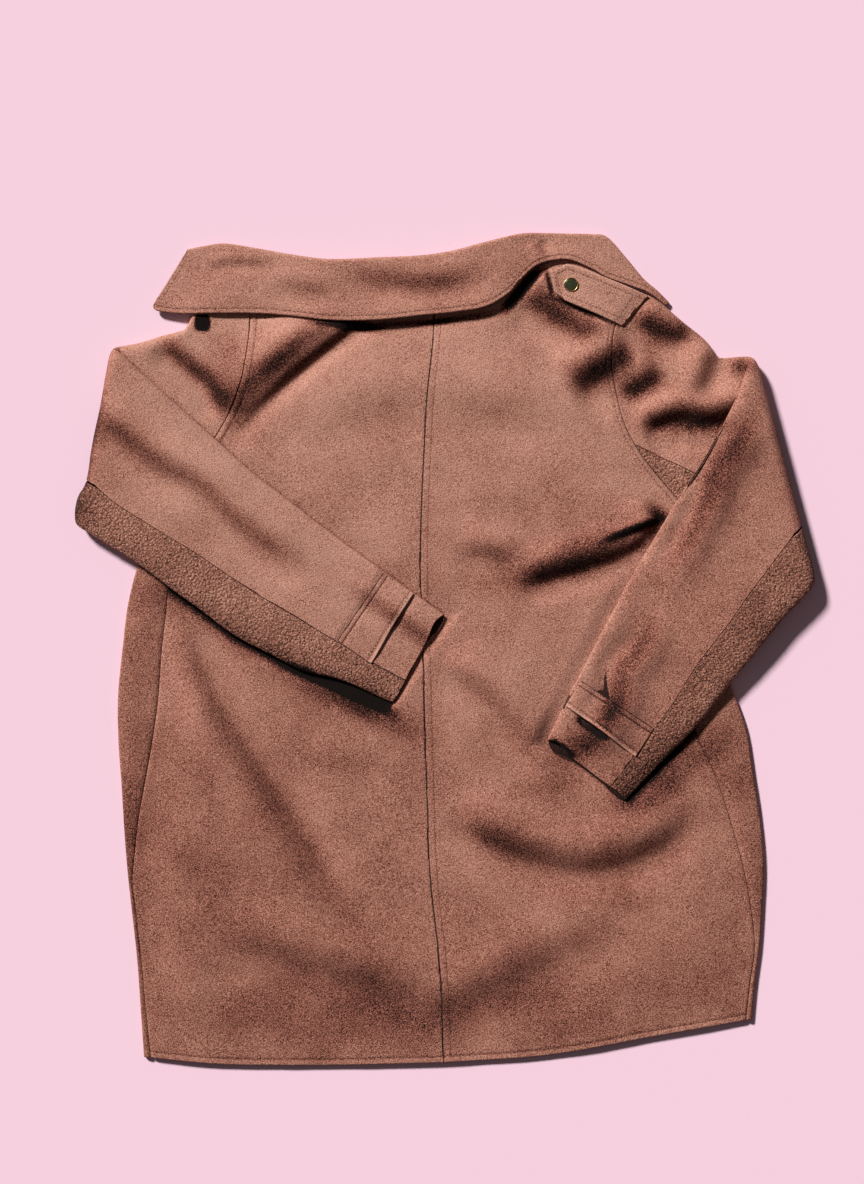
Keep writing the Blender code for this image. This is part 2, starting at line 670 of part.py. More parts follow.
def build_collar():
    """The fall turns over at the roll edge, and the band under it reaches down to the neck seam."""
    fall = []
    for step in np.linspace(0, COLLAR_END, int(2 * COLLAR_END) + 1):
        row, roll, free, towards = collar_frame(step)
        centre = roll + towards * row["bend"]
        ring = []
        for angle in np.linspace(-math.pi / 2, math.pi / 2, 5):
            at = centre - towards * row["bend"] * math.cos(angle)
            up = row["roll_z"] - row["bend"] + row["bend"] * math.sin(angle)
            ring.append((*at, up))
        for t in np.linspace(0, 1, COLLAR_COLUMNS)[1:]:
            at = mix(centre, free, t)
            up = mix(row["roll_z"], row["free_z"], float(smooth(t)))
            ring.append((*at, up))
        fall.append(ring)
    cloth_piece("collar_fall", np.array(fall), "collar", DOUBLED)
    band = []
    first, last = STAND_STEPS
    for step in np.linspace(first, last, int(2 * (last - first)) + 1):
        neck = np.array([float(STAND.at("neck_x", step)), float(STAND.at("neck_y", step))])
        row, roll, _, towards = collar_frame(step)
        end = roll + towards * (row["bend"] + BEND_SEAM_GAP / 2)
        end_z = row["roll_z"] - 2 * row["bend"]
        band.append([
            (*mix(neck, end, t), mix(STAND_NECK_Z, end_z, float(smooth(t))))
            for t in (0, 0.33, 0.67, 1)
        ])
    cloth_piece("collar_stand", np.array(band), "collar", CLOTH)


def build_epaulette(columns=4):
    rows = []
    for step in (0, 0.7, 1.4, 2, 3, 4):
        at = {name: float(EPAULETTE.at(name, step)) for name in EPAULETTE.names[1:]}
        upper = np.array([at["upper_x"], at["upper_y"]])
        lower = np.array([at["lower_x"], at["lower_y"]])
        across = np.linspace(0, 1, columns + 1)
        rows.append([(*mix(upper, lower, t), at["height"]) for t in across])
    cloth_piece("epaulette_right", np.array(rows), "epaulette", DOUBLED)


def build_snap():
    """A ring pressed into the epaulette's tip with a plain cap in it."""
    base = float(EPAULETTE.at("height", 2.0)) + DOUBLED / 2 + SEAM_GAP
    profile = [
        (SNAP_RING_BORE, 0.0), (SNAP_RING_RADIUS, 0.0), (SNAP_RING_RADIUS, SNAP_SHOULDER),
        (SNAP_RING_RADIUS - SNAP_BEVEL, SNAP_HEIGHT), (SNAP_RING_BORE + SNAP_BEVEL, SNAP_HEIGHT),
        (SNAP_RING_BORE, SNAP_HEIGHT - SNAP_BEVEL),
    ]
    cap_profile = [
        (0.0, 0.0), (SNAP_CAP_RADIUS, 0.0), (SNAP_CAP_RADIUS, SNAP_HEIGHT - 1.5 * SNAP_BEVEL),
        (SNAP_CAP_RADIUS - 2 * SNAP_BEVEL, SNAP_HEIGHT - SNAP_BEVEL / 2), (0.0, SNAP_HEIGHT),
    ]
    turned("snap_ring", profile, "brass", base, closed=True)
    turned("snap_cap", cap_profile, "olive", base, closed=False)


def turned(name, profile, look, base, closed, steps=20):
    points = []
    faces = []
    count = len(profile)
    for i in range(steps):
        angle = 2 * math.pi * i / steps
        for radius, up in profile:
            points.append((radius * math.cos(angle) * MM, radius * math.sin(angle) * MM, up * MM))
    for i in range(steps):
        after = (i + 1) % steps
        for j in range(count if closed else count - 1):
            nxt = (j + 1) % count
            faces.append((i * count + j, after * count + j, after * count + nxt, i * count + nxt))
    mesh = bpy.data.meshes.new(name)
    mesh.from_pydata(points, [], faces)
    mesh.shade_smooth()
    mesh.set_sharp_from_angle(angle=math.radians(40))
    mesh.materials.append(material(look, 0.35, 1.0 if look == "brass" else 0.0))
    piece = bpy.data.objects.new(name, mesh)
    piece.location = (SNAP_AT[0] * MM, SNAP_AT[1] * MM, base * MM)
    piece.parent = bpy.data.objects["coat"]
    bpy.context.scene.collection.objects.link(piece)
    if not closed:
        weld = piece.modifiers.new("weld", "WELD")
        weld.merge_threshold = 1e-5
    return piece


def main():
    for old in list(bpy.data.objects):
        bpy.data.objects.remove(old)
    coat = bpy.data.objects.new("coat", None)
    bpy.context.scene.collection.objects.link(coat)
    for side in ("left", "right"):
        build_back(side)
        build_front(side)
        build_sleeve(side)
        build_cuff_tab(side)
    build_collar()
    build_epaulette()
    build_snap()


main()
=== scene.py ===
"""The faux-suede coat, laid flat on its front with its back up and both sleeves folded over.

Every cloth piece of the frame is made again here as a fine shell on the same form, with its
folds, rolled seams, topstitching and nap, and with shade and light painted into the nap's tone.
Sizes are in millimetres until a mesh is made.
+X is to the right over the back, +Y towards the collar, +Z up from the floor.
"""

import math

import bpy
import numpy as np
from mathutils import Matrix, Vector
from mathutils.bvhtree import BVHTree


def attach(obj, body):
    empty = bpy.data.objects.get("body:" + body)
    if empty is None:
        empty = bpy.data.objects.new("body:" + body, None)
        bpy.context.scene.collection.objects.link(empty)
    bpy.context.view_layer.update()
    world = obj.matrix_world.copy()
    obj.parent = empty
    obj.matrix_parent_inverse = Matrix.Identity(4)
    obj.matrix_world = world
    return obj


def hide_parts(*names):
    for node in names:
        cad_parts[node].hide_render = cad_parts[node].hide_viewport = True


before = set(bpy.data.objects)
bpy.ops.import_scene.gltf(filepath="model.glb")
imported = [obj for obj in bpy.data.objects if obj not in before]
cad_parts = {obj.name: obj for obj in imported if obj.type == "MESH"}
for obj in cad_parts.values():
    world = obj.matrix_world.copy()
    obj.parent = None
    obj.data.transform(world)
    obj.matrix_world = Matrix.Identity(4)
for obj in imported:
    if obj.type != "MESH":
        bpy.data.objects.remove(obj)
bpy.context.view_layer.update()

MM = 0.001

SIDES = ("left", "right")

# Cloth and seams, as in the frame
CLOTH = 1.5  # wall of the suede cloth
DOUBLED = 2.5  # wall of the collar and the epaulette, which are two cloths thick
SEAM_GAP = 0.3  # between two pieces that are sewn together
CENTRE_GAP = 0.7 * SEAM_GAP  # from the centre seam to each back
ARMHOLE_GAP = 0.5  # between a sleeve and the armhole
BEND_SEAM_GAP = 1.6  # where a seam runs along or across a tight turn
FLOOR_MID = CLOTH / 2  # height of the middle of a cloth that lies on the floor
EDGE_RADIUS = 2.3  # of the front where it turns up round the coat's side
STRIP_MID = FLOOR_MID + 2 * EDGE_RADIUS  # height of the front's strip beside the side seam
RIM_SHARE = 0.87  # how far the round rim stands out, as a share of half the wall
LEAST_STRIP = 1.0  # width of the front's strip where the side seam runs along the edge
LAP_EDGE = 60.0  # each front's edge past the middle
LAP_RISE = 1.9  # the left front lies this much higher over the right one
LAP_RAMP = 45.0  # width over which it rises
NECKLINE_BOTTOM = 262.0
FRONT_NECK = {"left": (-122, 393), "right": (125, 421)}  # where the neck meets the shoulder

# Stitches
STITCH_PITCH = 4.2
STITCH_LENGTH = 2.9
STITCH_RADIUS = 0.42
STITCH_SINK = 0.12  # how deep a stitch lies in the cloth
STITCH_GROOVE = 0.35  # depth of the groove along a row of stitches
GROOVE_WIDTH = 1.1
CENTRE_STITCH = 7.7  # from the centre seam to its topstitch
HEM_STITCH = 6.6  # from the hem's edge
WELT = {"left": 7.2, "right": 5.0}  # from the armhole seam to its topstitch
COLLAR_STITCH = 5.2  # from the collar's free edge
EPAULETTE_STITCH = 6.2  # from the epaulette's edge
TAB_SEWN_STITCH = 6.0  # from the cuff tab's sewn end
TAB_FREE_STITCH = 5.0  # from its free end

# Heights of the back's cloth, at its middle
LEAST_BACK_HEIGHT = 4.9
TOP_HEIGHT = 4.4  # along its top edge
UNDER_SLEEVE_HEIGHT = 6.2  # the most, below a folded-back sleeve
UNDER_SLEEVE_MARGIN = 20.0  # width beside the sleeve over which it rises again
UNDER_COLLAR_HEIGHT = 8.6  # the most, below the collar and the epaulette
FREE_HEIGHT = 30.0  # a limit elsewhere, which nothing reaches
COLLAR_AT = 372.0  # where the lower limit holds, and the width over which it comes in
COLLAR_WIDTH = 45.0
FROM_SEAM = 60.0  # width over which the back leaves the height of its side seam and armhole
FROM_TOP = 45.0  # and that of its top edge

# Sleeves and their tabs
LEAST_HEIGHT = 3.4  # of the upper layer of a sleeve, which stays above the lower one
MOUTH_FROM = 0.86  # share of the way back where the cuff's mouth starts to be uneven
FLATTER_FROM = 0.8  # and where the tube starts to flatten
SLEEVE_TONE = {"left": 0.3, "right": -0.15}
SLEEVE_SEAM_SHADE = 1.2  # darker nap along the edge of the seam
CONTACT = {"left": 1.5, "right": 0.0}  # painted shadow beside each sleeve's upper edge
CONTACT_BELOW = 3.4  # and beside its other edges
CONTACT_REACH = {"upper": 2.2, "lower": 7.0, "cuff": 1.5, "fold": 4.0}
TAB_UPPER_INSET = 1.2  # of the tab's upper edge from its place in the table
TAB_LOWER_OUTSET = 1.5  # and of its lower edge, outwards
TAB_WELL = 1.5  # how far the sleeve dips under its tab
TAB_OPEN = {"left": 1.6, "right": 4.4}  # how far the free end bulges up

# Snap
SNAP_AT = (142.0, 402.5)
SNAP_RING_RADIUS = 8.0
SNAP_RING_BORE = 6.7
SNAP_CAP_RADIUS = 6.4
SNAP_HEIGHT = 1.6


class Table:
    """Rows of named columns, read between the rows on a smooth curve through them."""

    def __init__(self, names, rows):
        self.names = names.split()
        self.rows = np.array(rows, float)

    def __getitem__(self, name):
        return self.rows[:, self.names.index(name)]

    def at(self, name, where):
        key = self.rows[:, 0]
        value = self[name]
        slope = np.gradient(value, key)
        where = np.clip(np.asarray(where, float), key[0], key[-1])
        i = np.clip(np.searchsorted(key, where) - 1, 0, len(key) - 2)
        step = key[i + 1] - key[i]
        t = (where - key[i]) / step
        rise = value[i] * (1 + 2 * t) * (1 - t) ** 2 + value[i + 1] * t * t * (3 - 2 * t)
        bend = slope[i] * t * (1 - t) ** 2 - slope[i + 1] * t * t * (1 - t)
        return rise + bend * step


# Body: the middle seam, and on each side the side seam, the outline and the back's height
CENTRE_SEAM = Table("y x", [
    (-457, 1), (-345, -4), (-266, -13), (-150, -18), (0, -22), (100, -25),
    (220, -21), (276, -18), (363, -10), (384, -10),
])
SIDE = {
    "left": Table("y seam outline", [
        (-451, -322, -329), (-395, -328, -333), (-342, -333, -337), (-289, -339, -343),
        (-254, -343, -347), (-233, -341, -349), (-194, -337, -352), (-147, -329, -355),
        (-108, -322, -358), (-56, -315, -359), (-1, -311, -354), (54, -305, -347),
        (110, -302, -330), (153, -301, -305.5),
    ]),
    "right": Table("y seam outline", [
        (-410, 334, 340), (-368, 339, 344), (-331, 344, 349), (-289, 340.5, 352),
        (-238, 331, 354), (-188, 317, 350), (-140, 301, 343), (-90, 279, 335),
        (-38, 274, 318), (10, 272, 309), (54, 271, 305), (98, 271, 300),
        (142, 271, 275.5),
    ]),
}
HEM = {
    "left": Table("across y", [(0, -456.5), (0.5, -459.5), (0.8, -457.5), (1, -451)]),
    "right": Table("across y", [(0, -456.5), (0.35, -448), (0.7, -427.5), (1, -410)]),
}
# From the middle of the neck to the shoulder's end, for the back
BACK_TOP = {
    "left": Table("across x y", [
        (0, -10, 381), (0.25, -57, 379), (0.5, -105, 391), (0.56, -120, 396), (1, -206, 391),
    ]),
    "right": Table("across x y", [
        (0, -10, 381), (0.22, 42, 389), (0.37, 77, 404), (0.5, 104, 421), (0.58, 123, 429),
        (1, 228, 388),
    ]),
}
BACK_HEIGHT = Table("y middle", [
    (-460, 4.6), (-440, 5.4), (-380, 9.0), (-250, 10.0), (-100, 9.3), (60, 9.3),
    (200, 10.0), (300, 10.0), (360, 8.0), (430, 4.6),
])

# Folds: width of the high side and of the low side, drop of the high side, how much painted
# shade darkens the nap there, the share of the length over which each end fades, and the spine.
# The high side is on the left as the spine runs, or on the right where the drop is negative.
BACK_FOLDS = [
    (16, 12, 8.0, 1.3, 0.2, 0.1, [
        (72, 66), (92, 73), (120, 80), (150, 88), (180, 98), (205, 109), (232, 123), (258, 142),
    ]),
    (4, 5, 2.4, 3.5, 0.35, 0.05, [(165, 112), (180, 119), (215, 133), (253, 147), (273, 154)]),
    (15, 15, 4.0, 0.6, 0.4, 0.4, [(10, 116), (48, 106), (73, 98), (100, 88)]),
    (22, 17, -8.0, 0.8, 0.2, 0.4, [
        (-302, 75), (-270, -26), (-230, -97), (-187, -163), (-150, -223), (-114, -308), (-96, -342),
    ]),
    (24, 26, 6.0, 0.4, 0.3, 0.3, [
        (-261, -304), (-246, -307), (-164, -343), (-92, -364), (-56, -378), (-5, -401),
    ]),
    (24, 26, 4.0, 0.3, 0.3, 0.5, [
        (-46, -397), (-13, -399), (61, -370), (122, -336), (170, -310), (218, -282),
    ]),
    (23, 15, 8.0, 0.7, 0.25, 0.25, [
        (-10, -166), (29, -197), (89, -226), (168, -240), (241, -213), (290, -160),
    ]),
    (17, 15, 6.0, 0.6, 0.3, 0.35, [(-10, 5), (11, -24), (59, -61), (96, -109), (118, -145)]),
    (26, 22, 2.2, 0.15, 0.3, 0.3, [
        (-189, 224), (-167, 235), (-90, 263), (-19, 273), (59, 264), (130, 252), (174, 241),
    ]),
]
FROM_LEFT_NECK = [(-76, 374), (-101, 356), (-163, 308), (-217, 257), (-240, 230)]
SHOULDER_FOLDS = [
    (28, 9, -9.0, 0.9, 0.05, 0.3, FROM_LEFT_NECK),
    (6, 7, -1.5, 1.4, 0.05, 0.6, FROM_LEFT_NECK),
    (14, 12, 5.0, 2.4, 0.2, 0.2, [
        (-321, 342), (-299, 327), (-277, 309), (-261, 296), (-249, 276), (-240, 252),
    ]),
    (20, 17, 7.0, 2.0, 0.2, 0.25, [(88, 397), (97, 389), (130, 369), (158, 352), (178, 340)]),
    (26, 20, 8.0, 2.0, 0.3, 0.2, [(134, 282), (160, 298), (188, 313), (216, 331)]),
    (16, 13, 6.0, 2.0, 0.3, 0.3, [(190, 280), (212, 286), (232, 300), (245, 314)]),
    (16, 12, 6.0, 1.8, 0.3, 0.3, [(206, 372), (234, 354), (253, 347), (284, 350)]),
    (13, 17, 8.0, 1.6, 0.15, 0.05, [
        (216, 240), (242, 253), (267, 259), (293, 255), (325, 263), (345, 273),
    ]),
    (12, 12, -5.0, 0.7, 0.3, 0.4, [(306, 336), (296, 316), (288, 297), (275, 272)]),
]
SLEEVE_FOLDS = [
    (16, 15, 5.0, 1.4, 0.15, 0.25, [
        (-395, 268), (-378, 255), (-336, 219), (-321, 208), (-268, 179), (-231, 142), (-193, 113),
        (-140, 72),
    ]),
    (12, 12, 1.3, 1.3, 0.3, 0.2, [(-116, 78), (-99, 65), (-63, 40), (-24, 12), (-2, -6)]),
    (14, 13, 6.0, 1.2, 0.2, 0.3, [(350, 262), (336, 246), (301, 196), (287, 156), (260, 106), (230, 78)]),
    (14, 14, 5.5, 1.5, 0.3, 0.1, [(232, 50), (219, 3), (196, -23), (193, -54), (174, -89), (160, -108)]),
]

# Sleeves: each leaves the armhole, turns over at the fold and comes back over the body.
# middle and fold_along place the fold line, and slant is how far it leans from square across.
# cuff is a place along the sleeve and its lean, and tab the tab's start, end, upper and lower edge.
# mouth is how far the cuff's upper and lower layers reach past it.
FOLD_RADIUS = 6.2
FOLD_DEPTH = 5.0  # half the depth of the flattened tube at the fold
FOLD_BASE = FLOOR_MID + FOLD_DEPTH + 0.05
HALF_TURN = math.pi * FOLD_RADIUS / 2
SLACK = HALF_TURN - FOLD_RADIUS - FOLD_DEPTH
SLEEVE = {
    "left": {
        "middle": (-389.4, 235.4),
        "fold_along": (-0.2216, -0.9751),
        "slant": 0.393,
        "edges": Table("along upper lower seam", [
            (-197, -118, 86, 50), (-150, -118, 86, 50), (-131, -118, 86, 50), (-125, -109, 86, 50),
            (-119, -102, 86, 50), (-110, -100, 86, 50), (-92, -98, 86, 50), (-66, -94, 86, 50),
            (-36, -93, 91, 47), (0, -88, 93, 46), (66, -79, 91, 48), (114, -73, 88, 46),
            (174, -65, 90, 43), (209, -63, 91, 43), (256, -60, 93, 42), (299, -58, 88, 39),
            (341, -57, 82, 37), (372, -56, 70, 35), (437, -54.5, 57, 29), (446, -54, 55, 28),
        ]),
        "armhole": Table("across along", [
            (-120, -193), (-103, -191.5), (-64, -182), (-35, -172), (0, -151.5), (23, -133),
            (55, -103), (88, -76),
        ]),
        "cuff": (436, 0.08),
        "tab": (352, 395, -57, 33),
        "mouth": Table("across top bottom", [
            (-70, -3, 4), (-54, -1, 5), (-42, -3, 6), (-25, -1, 2), (0, 0, 1), (20, 0, 2),
            (35, 1, 1), (75, 0, 1),
        ]),
    },
    "right": {
        "middle": (379.5, 198.0),
        "fold_along": (0.2566, -0.9665),
        "slant": 0.897,
        "edges": Table("along upper lower seam", [
            (-240, -106, 88, 52), (-208, -104, 88, 52), (-182, -97, 88, 51), (-137, -86, 88, 50),
            (-120, -78, 88, 50), (-110, -83, 88, 49), (-93, -93, 88, 49), (-34, -87, 91, 49),
            (4, -83, 93, 48), (45, -80, 95, 48), (94, -80, 96, 45), (146, -78, 87, 42),
            (180, -77, 84, 41), (232, -73, 78, 37), (289, -67, 73, 38), (351, -61, 61, 34),
            (401, -54, 52, 31),
        ]),
        "armhole": Table("across along", [
            (-106, -222), (-57, -239), (-29, -229), (11, -202), (45, -168), (67, -129),
            (84, -89), (91, -76),
        ]),
        "cuff": (397, 0.08),
        "tab": (319, 354, -61, 34),
        "mouth": Table("across top bottom", [
            (-70, -4, 6), (-54, -2, 6), (-42, -3, 9), (-28, 0, 5), (0, 0, 3), (20, 0, 3),
            (38, -1, 5), (70, -1, 4),
        ]),
    },
}
# Height of the middle of the part that comes back, and half its depth, by the way from the fold
RETURN = {
    "left": Table("from_fold middle depth", [
        (0, 18.2, 5.0), (25, 18.2, 5.0), (100, 17.0, 4.5), (170, 14.6, 4.0), (230, 12.4, 3.7),
        (300, 11.6, 3.5), (370, 10.9, 2.9), (430, 10.5, 2.6),
    ]),
    "right": Table("from_fold middle depth", [
        (0, 18.2, 5.0), (25, 18.2, 5.0), (90, 16.4, 4.5), (150, 13.2, 3.8), (200, 11.6, 3.4),
        (240, 10.9, 2.9), (300, 10.5, 2.6),
    ]),
}
# How far the left elbow's edge lies in from the straight fold line
LEFT_ELBOW = Table("down tuck", [
    (-110, 0), (-60, 2.0), (-35, 3.5), (0, 4.0), (20, 5.0), (44, 7.0), (56, 6.5), (66, 3.0),
    (100, 4.0), (130, 7.0),
])
ELBOW_REACH = 55.0
ARMHOLE_TOP = Table("fraction height", [(0, 4.4), (0.2, 6.2), (0.5, 7.0), (0.85, 6.0), (1, 4.2)])
ARMHOLE_EDGE = 3.5  # width of the tube's rounded edges at the armhole
TUBE_EDGE = 12.0  # and from the fold on
# Rows of the tube: from the armhole to the fold, round the fold, and back to the cuff
IN_ROWS = 5
BEND_STEPS = 6
OUT_ROWS = 10

# Collar, from its left tip: roll edge, free edge, their heights and the roll's radius
COLLAR = Table("step roll_x roll_y free_x free_y roll_z free_z bend", [
    (0, -284, 442, -325, 375, 5.2, 6.5, 1.9),
    (1, -264, 446, -293, 371, 5.2, 8.8, 1.9),
    (2, -242, 448.5, -255, 371, 6.0, 10.4, 1.9),
    (3, -205, 442.5, -210, 371, 8.5, 11.2, 2.3),
    (4, -167, 435.5, -167, 368, 11.4, 12.8, 3.0),
    (5, -125, 430.5, -125, 363, 11.8, 14.5, 3.2),
    (6, -70, 432.5, -72, 363, 11.8, 16.5, 3.2),
    (7, -26, 434.5, -25, 368, 11.8, 16.5, 3.2),
    (8, 9, 439.5, 15, 372, 11.8, 16.5, 3.2),
    (9, 43, 448.5, 48, 378, 11.6, 16.5, 3.1),
    (10, 70, 455.5, 73, 393, 10.6, 14.6, 2.8),
    (11, 90, 459.5, 90, 412, 9.0, 12.8, 2.4),
    (12, 112, 460, 108, 426, 7.0, 11.2, 2.0),
    (13, 140, 459.5, 138, 431, 5.6, 9.6, 1.9),
    (14, 165, 459, 165, 421, 5.2, 8.2, 1.9),
    (15, 182, 456, 182, 411.5, 5.2, 8.1, 1.9),
    (16, 203, 433, 203, 404, 5.2, 7.7, 1.9),
    (17, 222, 410, 221, 397.5, 5.2, 7.0, 1.9),
    (18, 237, 397, 233.5, 390.5, 5.2, 6.6, 1.9),
    (19, 251, 383, 247, 380.5, 5.0, 5.4, 1.9),
])
STAND = Table("step neck_x neck_y", [
    (4, -132, 391), (5, -100, 385), (6, -57, 375), (7, -20, 376), (8, 10, 379),
    (9, 45, 386), (10, 73, 399), (10.5, 84, 406),
])
STAND_NECK_Z = 6.4
COLLAR_FOLDS = [
    (6, 6, -2.0, 0.5, 0.2, 0.5, [(104, 452), (107, 444), (112, 438), (122, 434)]),
    (14, 14, 3.0, 0.9, 0.3, 0.35, [(-120, 426), (-70, 410), (-20, 404), (30, 412), (60, 430)]),
    (6, 6, 1.5, 0.5, 0.3, 0.4, [(-268, 424), (-230, 429), (-180, 425)]),
    (12, 12, 2.5, 0.5, 0.4, 0.4, [(-200, 410), (-160, 400), (-110, 392)]),
]

EPAULETTE = Table("step upper_x upper_y lower_x lower_y height", [
    (0, 228, 391, 199, 357, 9.7), (1, 185, 409, 172, 369.5, 10.5), (2, 142, 425, 142, 382, 11.1),
    (3, 130, 421.5, 132, 387, 11.3), (4, 118.5, 417.5, 124, 393.5, 11.4),
])

# Soft patches of tone: middle, reach along and across, turn in degrees, and how much lighter.
# They are partly uneven nap, and partly painted shade in the folds, painted shadow beside the
# sleeves and painted light on the middle of the back.
PATCHES = [
    # the lower body
    (-122, -126, 46, 14, 0, -0.5), (-192, -407, 34, 20, 0, -0.3), (113, -150, 40, 15, 10, -0.4),
    (-107, -392, 75, 34, 0, -0.5), (80, -388, 60, 22, 15, -0.4), (-280, -260, 60, 100, 0, -0.45),
    (-20, -402, 100, 30, 0, -0.6), (310, -125, 22, 60, 0, -0.5), (58, -212, 48, 18, -28, -0.8),
    (-345, -210, 13, 210, 0, -0.45), (174, -276, 60, 16, 0, -0.5), (-120, -264, 60, 12, -62, -0.4),
    # painted shadow beside the sleeves
    (-190, -8, 150, 14, -24.5, -0.8), (250, -128, 60, 12, 40, -0.8), (230, -135, 60, 30, 30, -0.5),
    (128, -138, 18, 30, 0, -0.7),
    (-100, -64, 70, 11, -25, -1.4), (262, -142, 75, 12, 40, -1.0),
    (201, -168, 16, 12, 0, -0.7), (144, -122, 16, 12, 0, -0.5), (-332, 8, 18, 50, 0, -0.4),
    # the middle of the back
    (60, 10, 60, 60, 0, 0.2), (-30, -230, 130, 90, 0, 0.3), (-110, 120, 90, 50, -35, 0.25),
    (112, 158, 130, 15, -2, -0.3), (135, 92, 62, 15, 22, -1.3), (163, 120, 75, 16, 24, -0.8),
    (64, 109, 40, 16, 0, -0.5), (-80, -62, 50, 14, -28, -0.7),
    (58, 78, 45, 15, 10, -0.6), (-13, 406, 95, 18, 3, -0.35), (-70, 82, 80, 14, -5, -0.4),
    # the left shoulder and sleeve
    (-386, 232, 110, 9, 77, -0.8), (-402, 146, 16, 16, 0, -0.8),
    (-236, 286, 16, 20, 0, -0.8), (-277, 336, 15, 8, 0, 0.3), (-184, 318, 55, 13, 41, -2.3),
    (-236, 326, 24, 26, 0, -1.1), (-225, 252, 13, 22, -30, -0.8), (-370, 230, 50, 110, 0, -0.55),
    (-272, 44, 70, 13, -27, -0.5),
    # the right shoulder and sleeve
    (125, 366, 34, 13, -38, -0.9), (177, 312, 30, 15, 35, -1.3), (216, 290, 20, 11, 15, -1.0),
    (249, 356, 36, 15, -22, -0.4), (233, 335, 16, 50, 0, -0.4), (332, 312, 13, 9, 0, -1.8),
    (278, 248, 38, 9, 0, -1.4), (328, 224, 60, 14, 66, -0.8), (340, 200, 60, 120, 15, -0.25),
    (174, 356, 22, 10, -20, -0.6), (230, 334, 12, 22, 0, -0.5), (328, 54, 45, 60, 0, -0.25),
    (158, -106, 21, 17, 0, -2.1), (186, -72, 12, 18, 0, -0.8),
]
# Painted shadows in the gaps under raised edges: middle, reach along and across, turn in degrees, and how
# dark
PAINTED_SHADOWS = [
    (-267, 361, 7.2, 8.0, 2, 12.0), (-60, 20, 20, 2.2, 52, 2.0), (166, -87, 18, 5.0, -32, 8.0),
    (131, -112, 14, 5, -38, 6.0), (-118, -43, 60, 5, -24.5, 5.0), (-105, 358, 40, 5, -6, 3.0),
    (-40, 360, 50, 4, 3, 2.0), (20, 366, 40, 4, 8, 2.0), (88, 398, 30, 6, 50, 5.0),
    (118, 405, 14, 2.2, -75, 3.5), (160, 372.5, 42, 2.6, -22.5, 3.0),
]
# Painted light: the tone rises towards the collar and falls towards the hem, standing in for the light's
# falloff
TONE_RISE = 650.0  # mm towards the collar over which the tone rises by 1
TONE_REACH = 300.0  # which it does as far as this from the middle
TONE_OFFSET = 0.07
# A fold's painted shade lies this far from its spine and reaches this far, as shares of its width
SHADE_OFFSET = 0.1
SHADE_REACH = math.sqrt(0.7)


def smooth(t):
    t = np.clip(t, 0.0, 1.0)
    return t * t * (3 - 2 * t)


def mix(a, b, t):
    return a + (b - a) * t


def hump(distance, reach):
    """1 where the distance is 0, and less on both sides of it."""
    return np.exp(-((distance / reach) ** 2))


def soft_floor(height, lowest, ease=1.2):
    """The height, eased so that it stays above the lowest one."""
    return lowest + ease * np.logaddexp(0, (height - lowest) / ease)


def apart(a, b):
    """Distance in plan between places."""
    return np.hypot(*np.moveaxis(a - b, -1, 0))


def runs(path):
    """How far along the path each of its points lies."""
    return np.concatenate([[0], np.cumsum(np.hypot(*np.diff(path, axis=0).T))])


def with_height(plan, height):
    return np.concatenate([plan, height[..., None]], axis=-1)


# ---------------------------------------------------------------- noise and folds


def lattice(ix, iy, iz, seed):
    """A repeatable value from 0 to 1 at each whole-number place."""
    number = (ix * 374761393 + iy * 668265263 + iz * 1103515245 + seed * 1274126177) & 0xFFFFFFFF
    number = ((number ^ (number >> 13)) * 1274126177) & 0xFFFFFFFF
    return ((number ^ (number >> 16)) & 0xFFFFFFFF) / 0xFFFFFFFF


def value_noise(points, size, seed):
    """Smooth noise from -1 to 1 whose spots are about size across."""
    scaled = np.asarray(points, float) / size
    low = np.floor(scaled).astype(np.int64)
    t = scaled - low
    t = t * t * (3 - 2 * t)
    total = 0
    for corner in np.ndindex(2, 2, 2):
        share = 1.0
        for axis in range(3):
            share = share * (t[..., axis] if corner[axis] else 1 - t[..., axis])
        total = total + share * lattice(*[low[..., axis] + corner[axis] for axis in range(3)], seed)
    return 2 * total - 1


def along_curve(spine, steps=8):
    spine = np.array(spine, float)
    key = np.arange(len(spine))
    fine = np.linspace(0, len(spine) - 1, (len(spine) - 1) * steps + 1)
    table = Table("t x y", np.column_stack([key, spine]).tolist())
    return np.column_stack([table.at("x", fine), table.at("y", fine)])


def curve_frame(x, y, curve):
    """Distance from the curve, positive on its left as it runs, and the share of its length."""
    best = np.full(np.shape(x), 1e9)
    signed = np.zeros(np.shape(x))
    share = np.zeros(np.shape(x))
    starts = runs(curve)
    for i, ((ax, ay), (bx, by)) in enumerate(zip(curve[:-1], curve[1:])):
        dx, dy = bx - ax, by - ay
        t = np.clip(((x - ax) * dx + (y - ay) * dy) / (dx * dx + dy * dy), 0, 1)
        away = np.hypot(x - ax - t * dx, y - ay - t * dy)
        side = np.sign(dx * (y - ay) - dy * (x - ax))
        nearer = away < best
        best = np.where(nearer, away, best)
        signed = np.where(nearer, away * side, signed)
        share = np.where(nearer, mix(starts[i], starts[i + 1], t) / starts[-1], share)
    return signed, share


def fold_relief(x, y, folds):
    """Height of the folds, and how much painted shade darkens the nap along them."""
    height = np.zeros(np.shape(x))
    darker = np.zeros(np.shape(x))
    for high_width, low_width, drop, shade, start_fade, end_fade, spine in folds:
        signed, share = curve_frame(x, y, along_curve(spine))
        signed = signed * np.sign(drop)
        width = np.where(signed > 0, high_width, low_width)
        away = signed / width
        strength = smooth(share / start_fade) * smooth((1 - share) / end_fade)
        size = abs(drop) * width / high_width
        height += size * strength * away * np.exp(0.5 - away * away / 2)
        # painted shade along the fold's steep side
        darker += shade * strength * hump(away - SHADE_OFFSET, SHADE_REACH)
    return height, darker


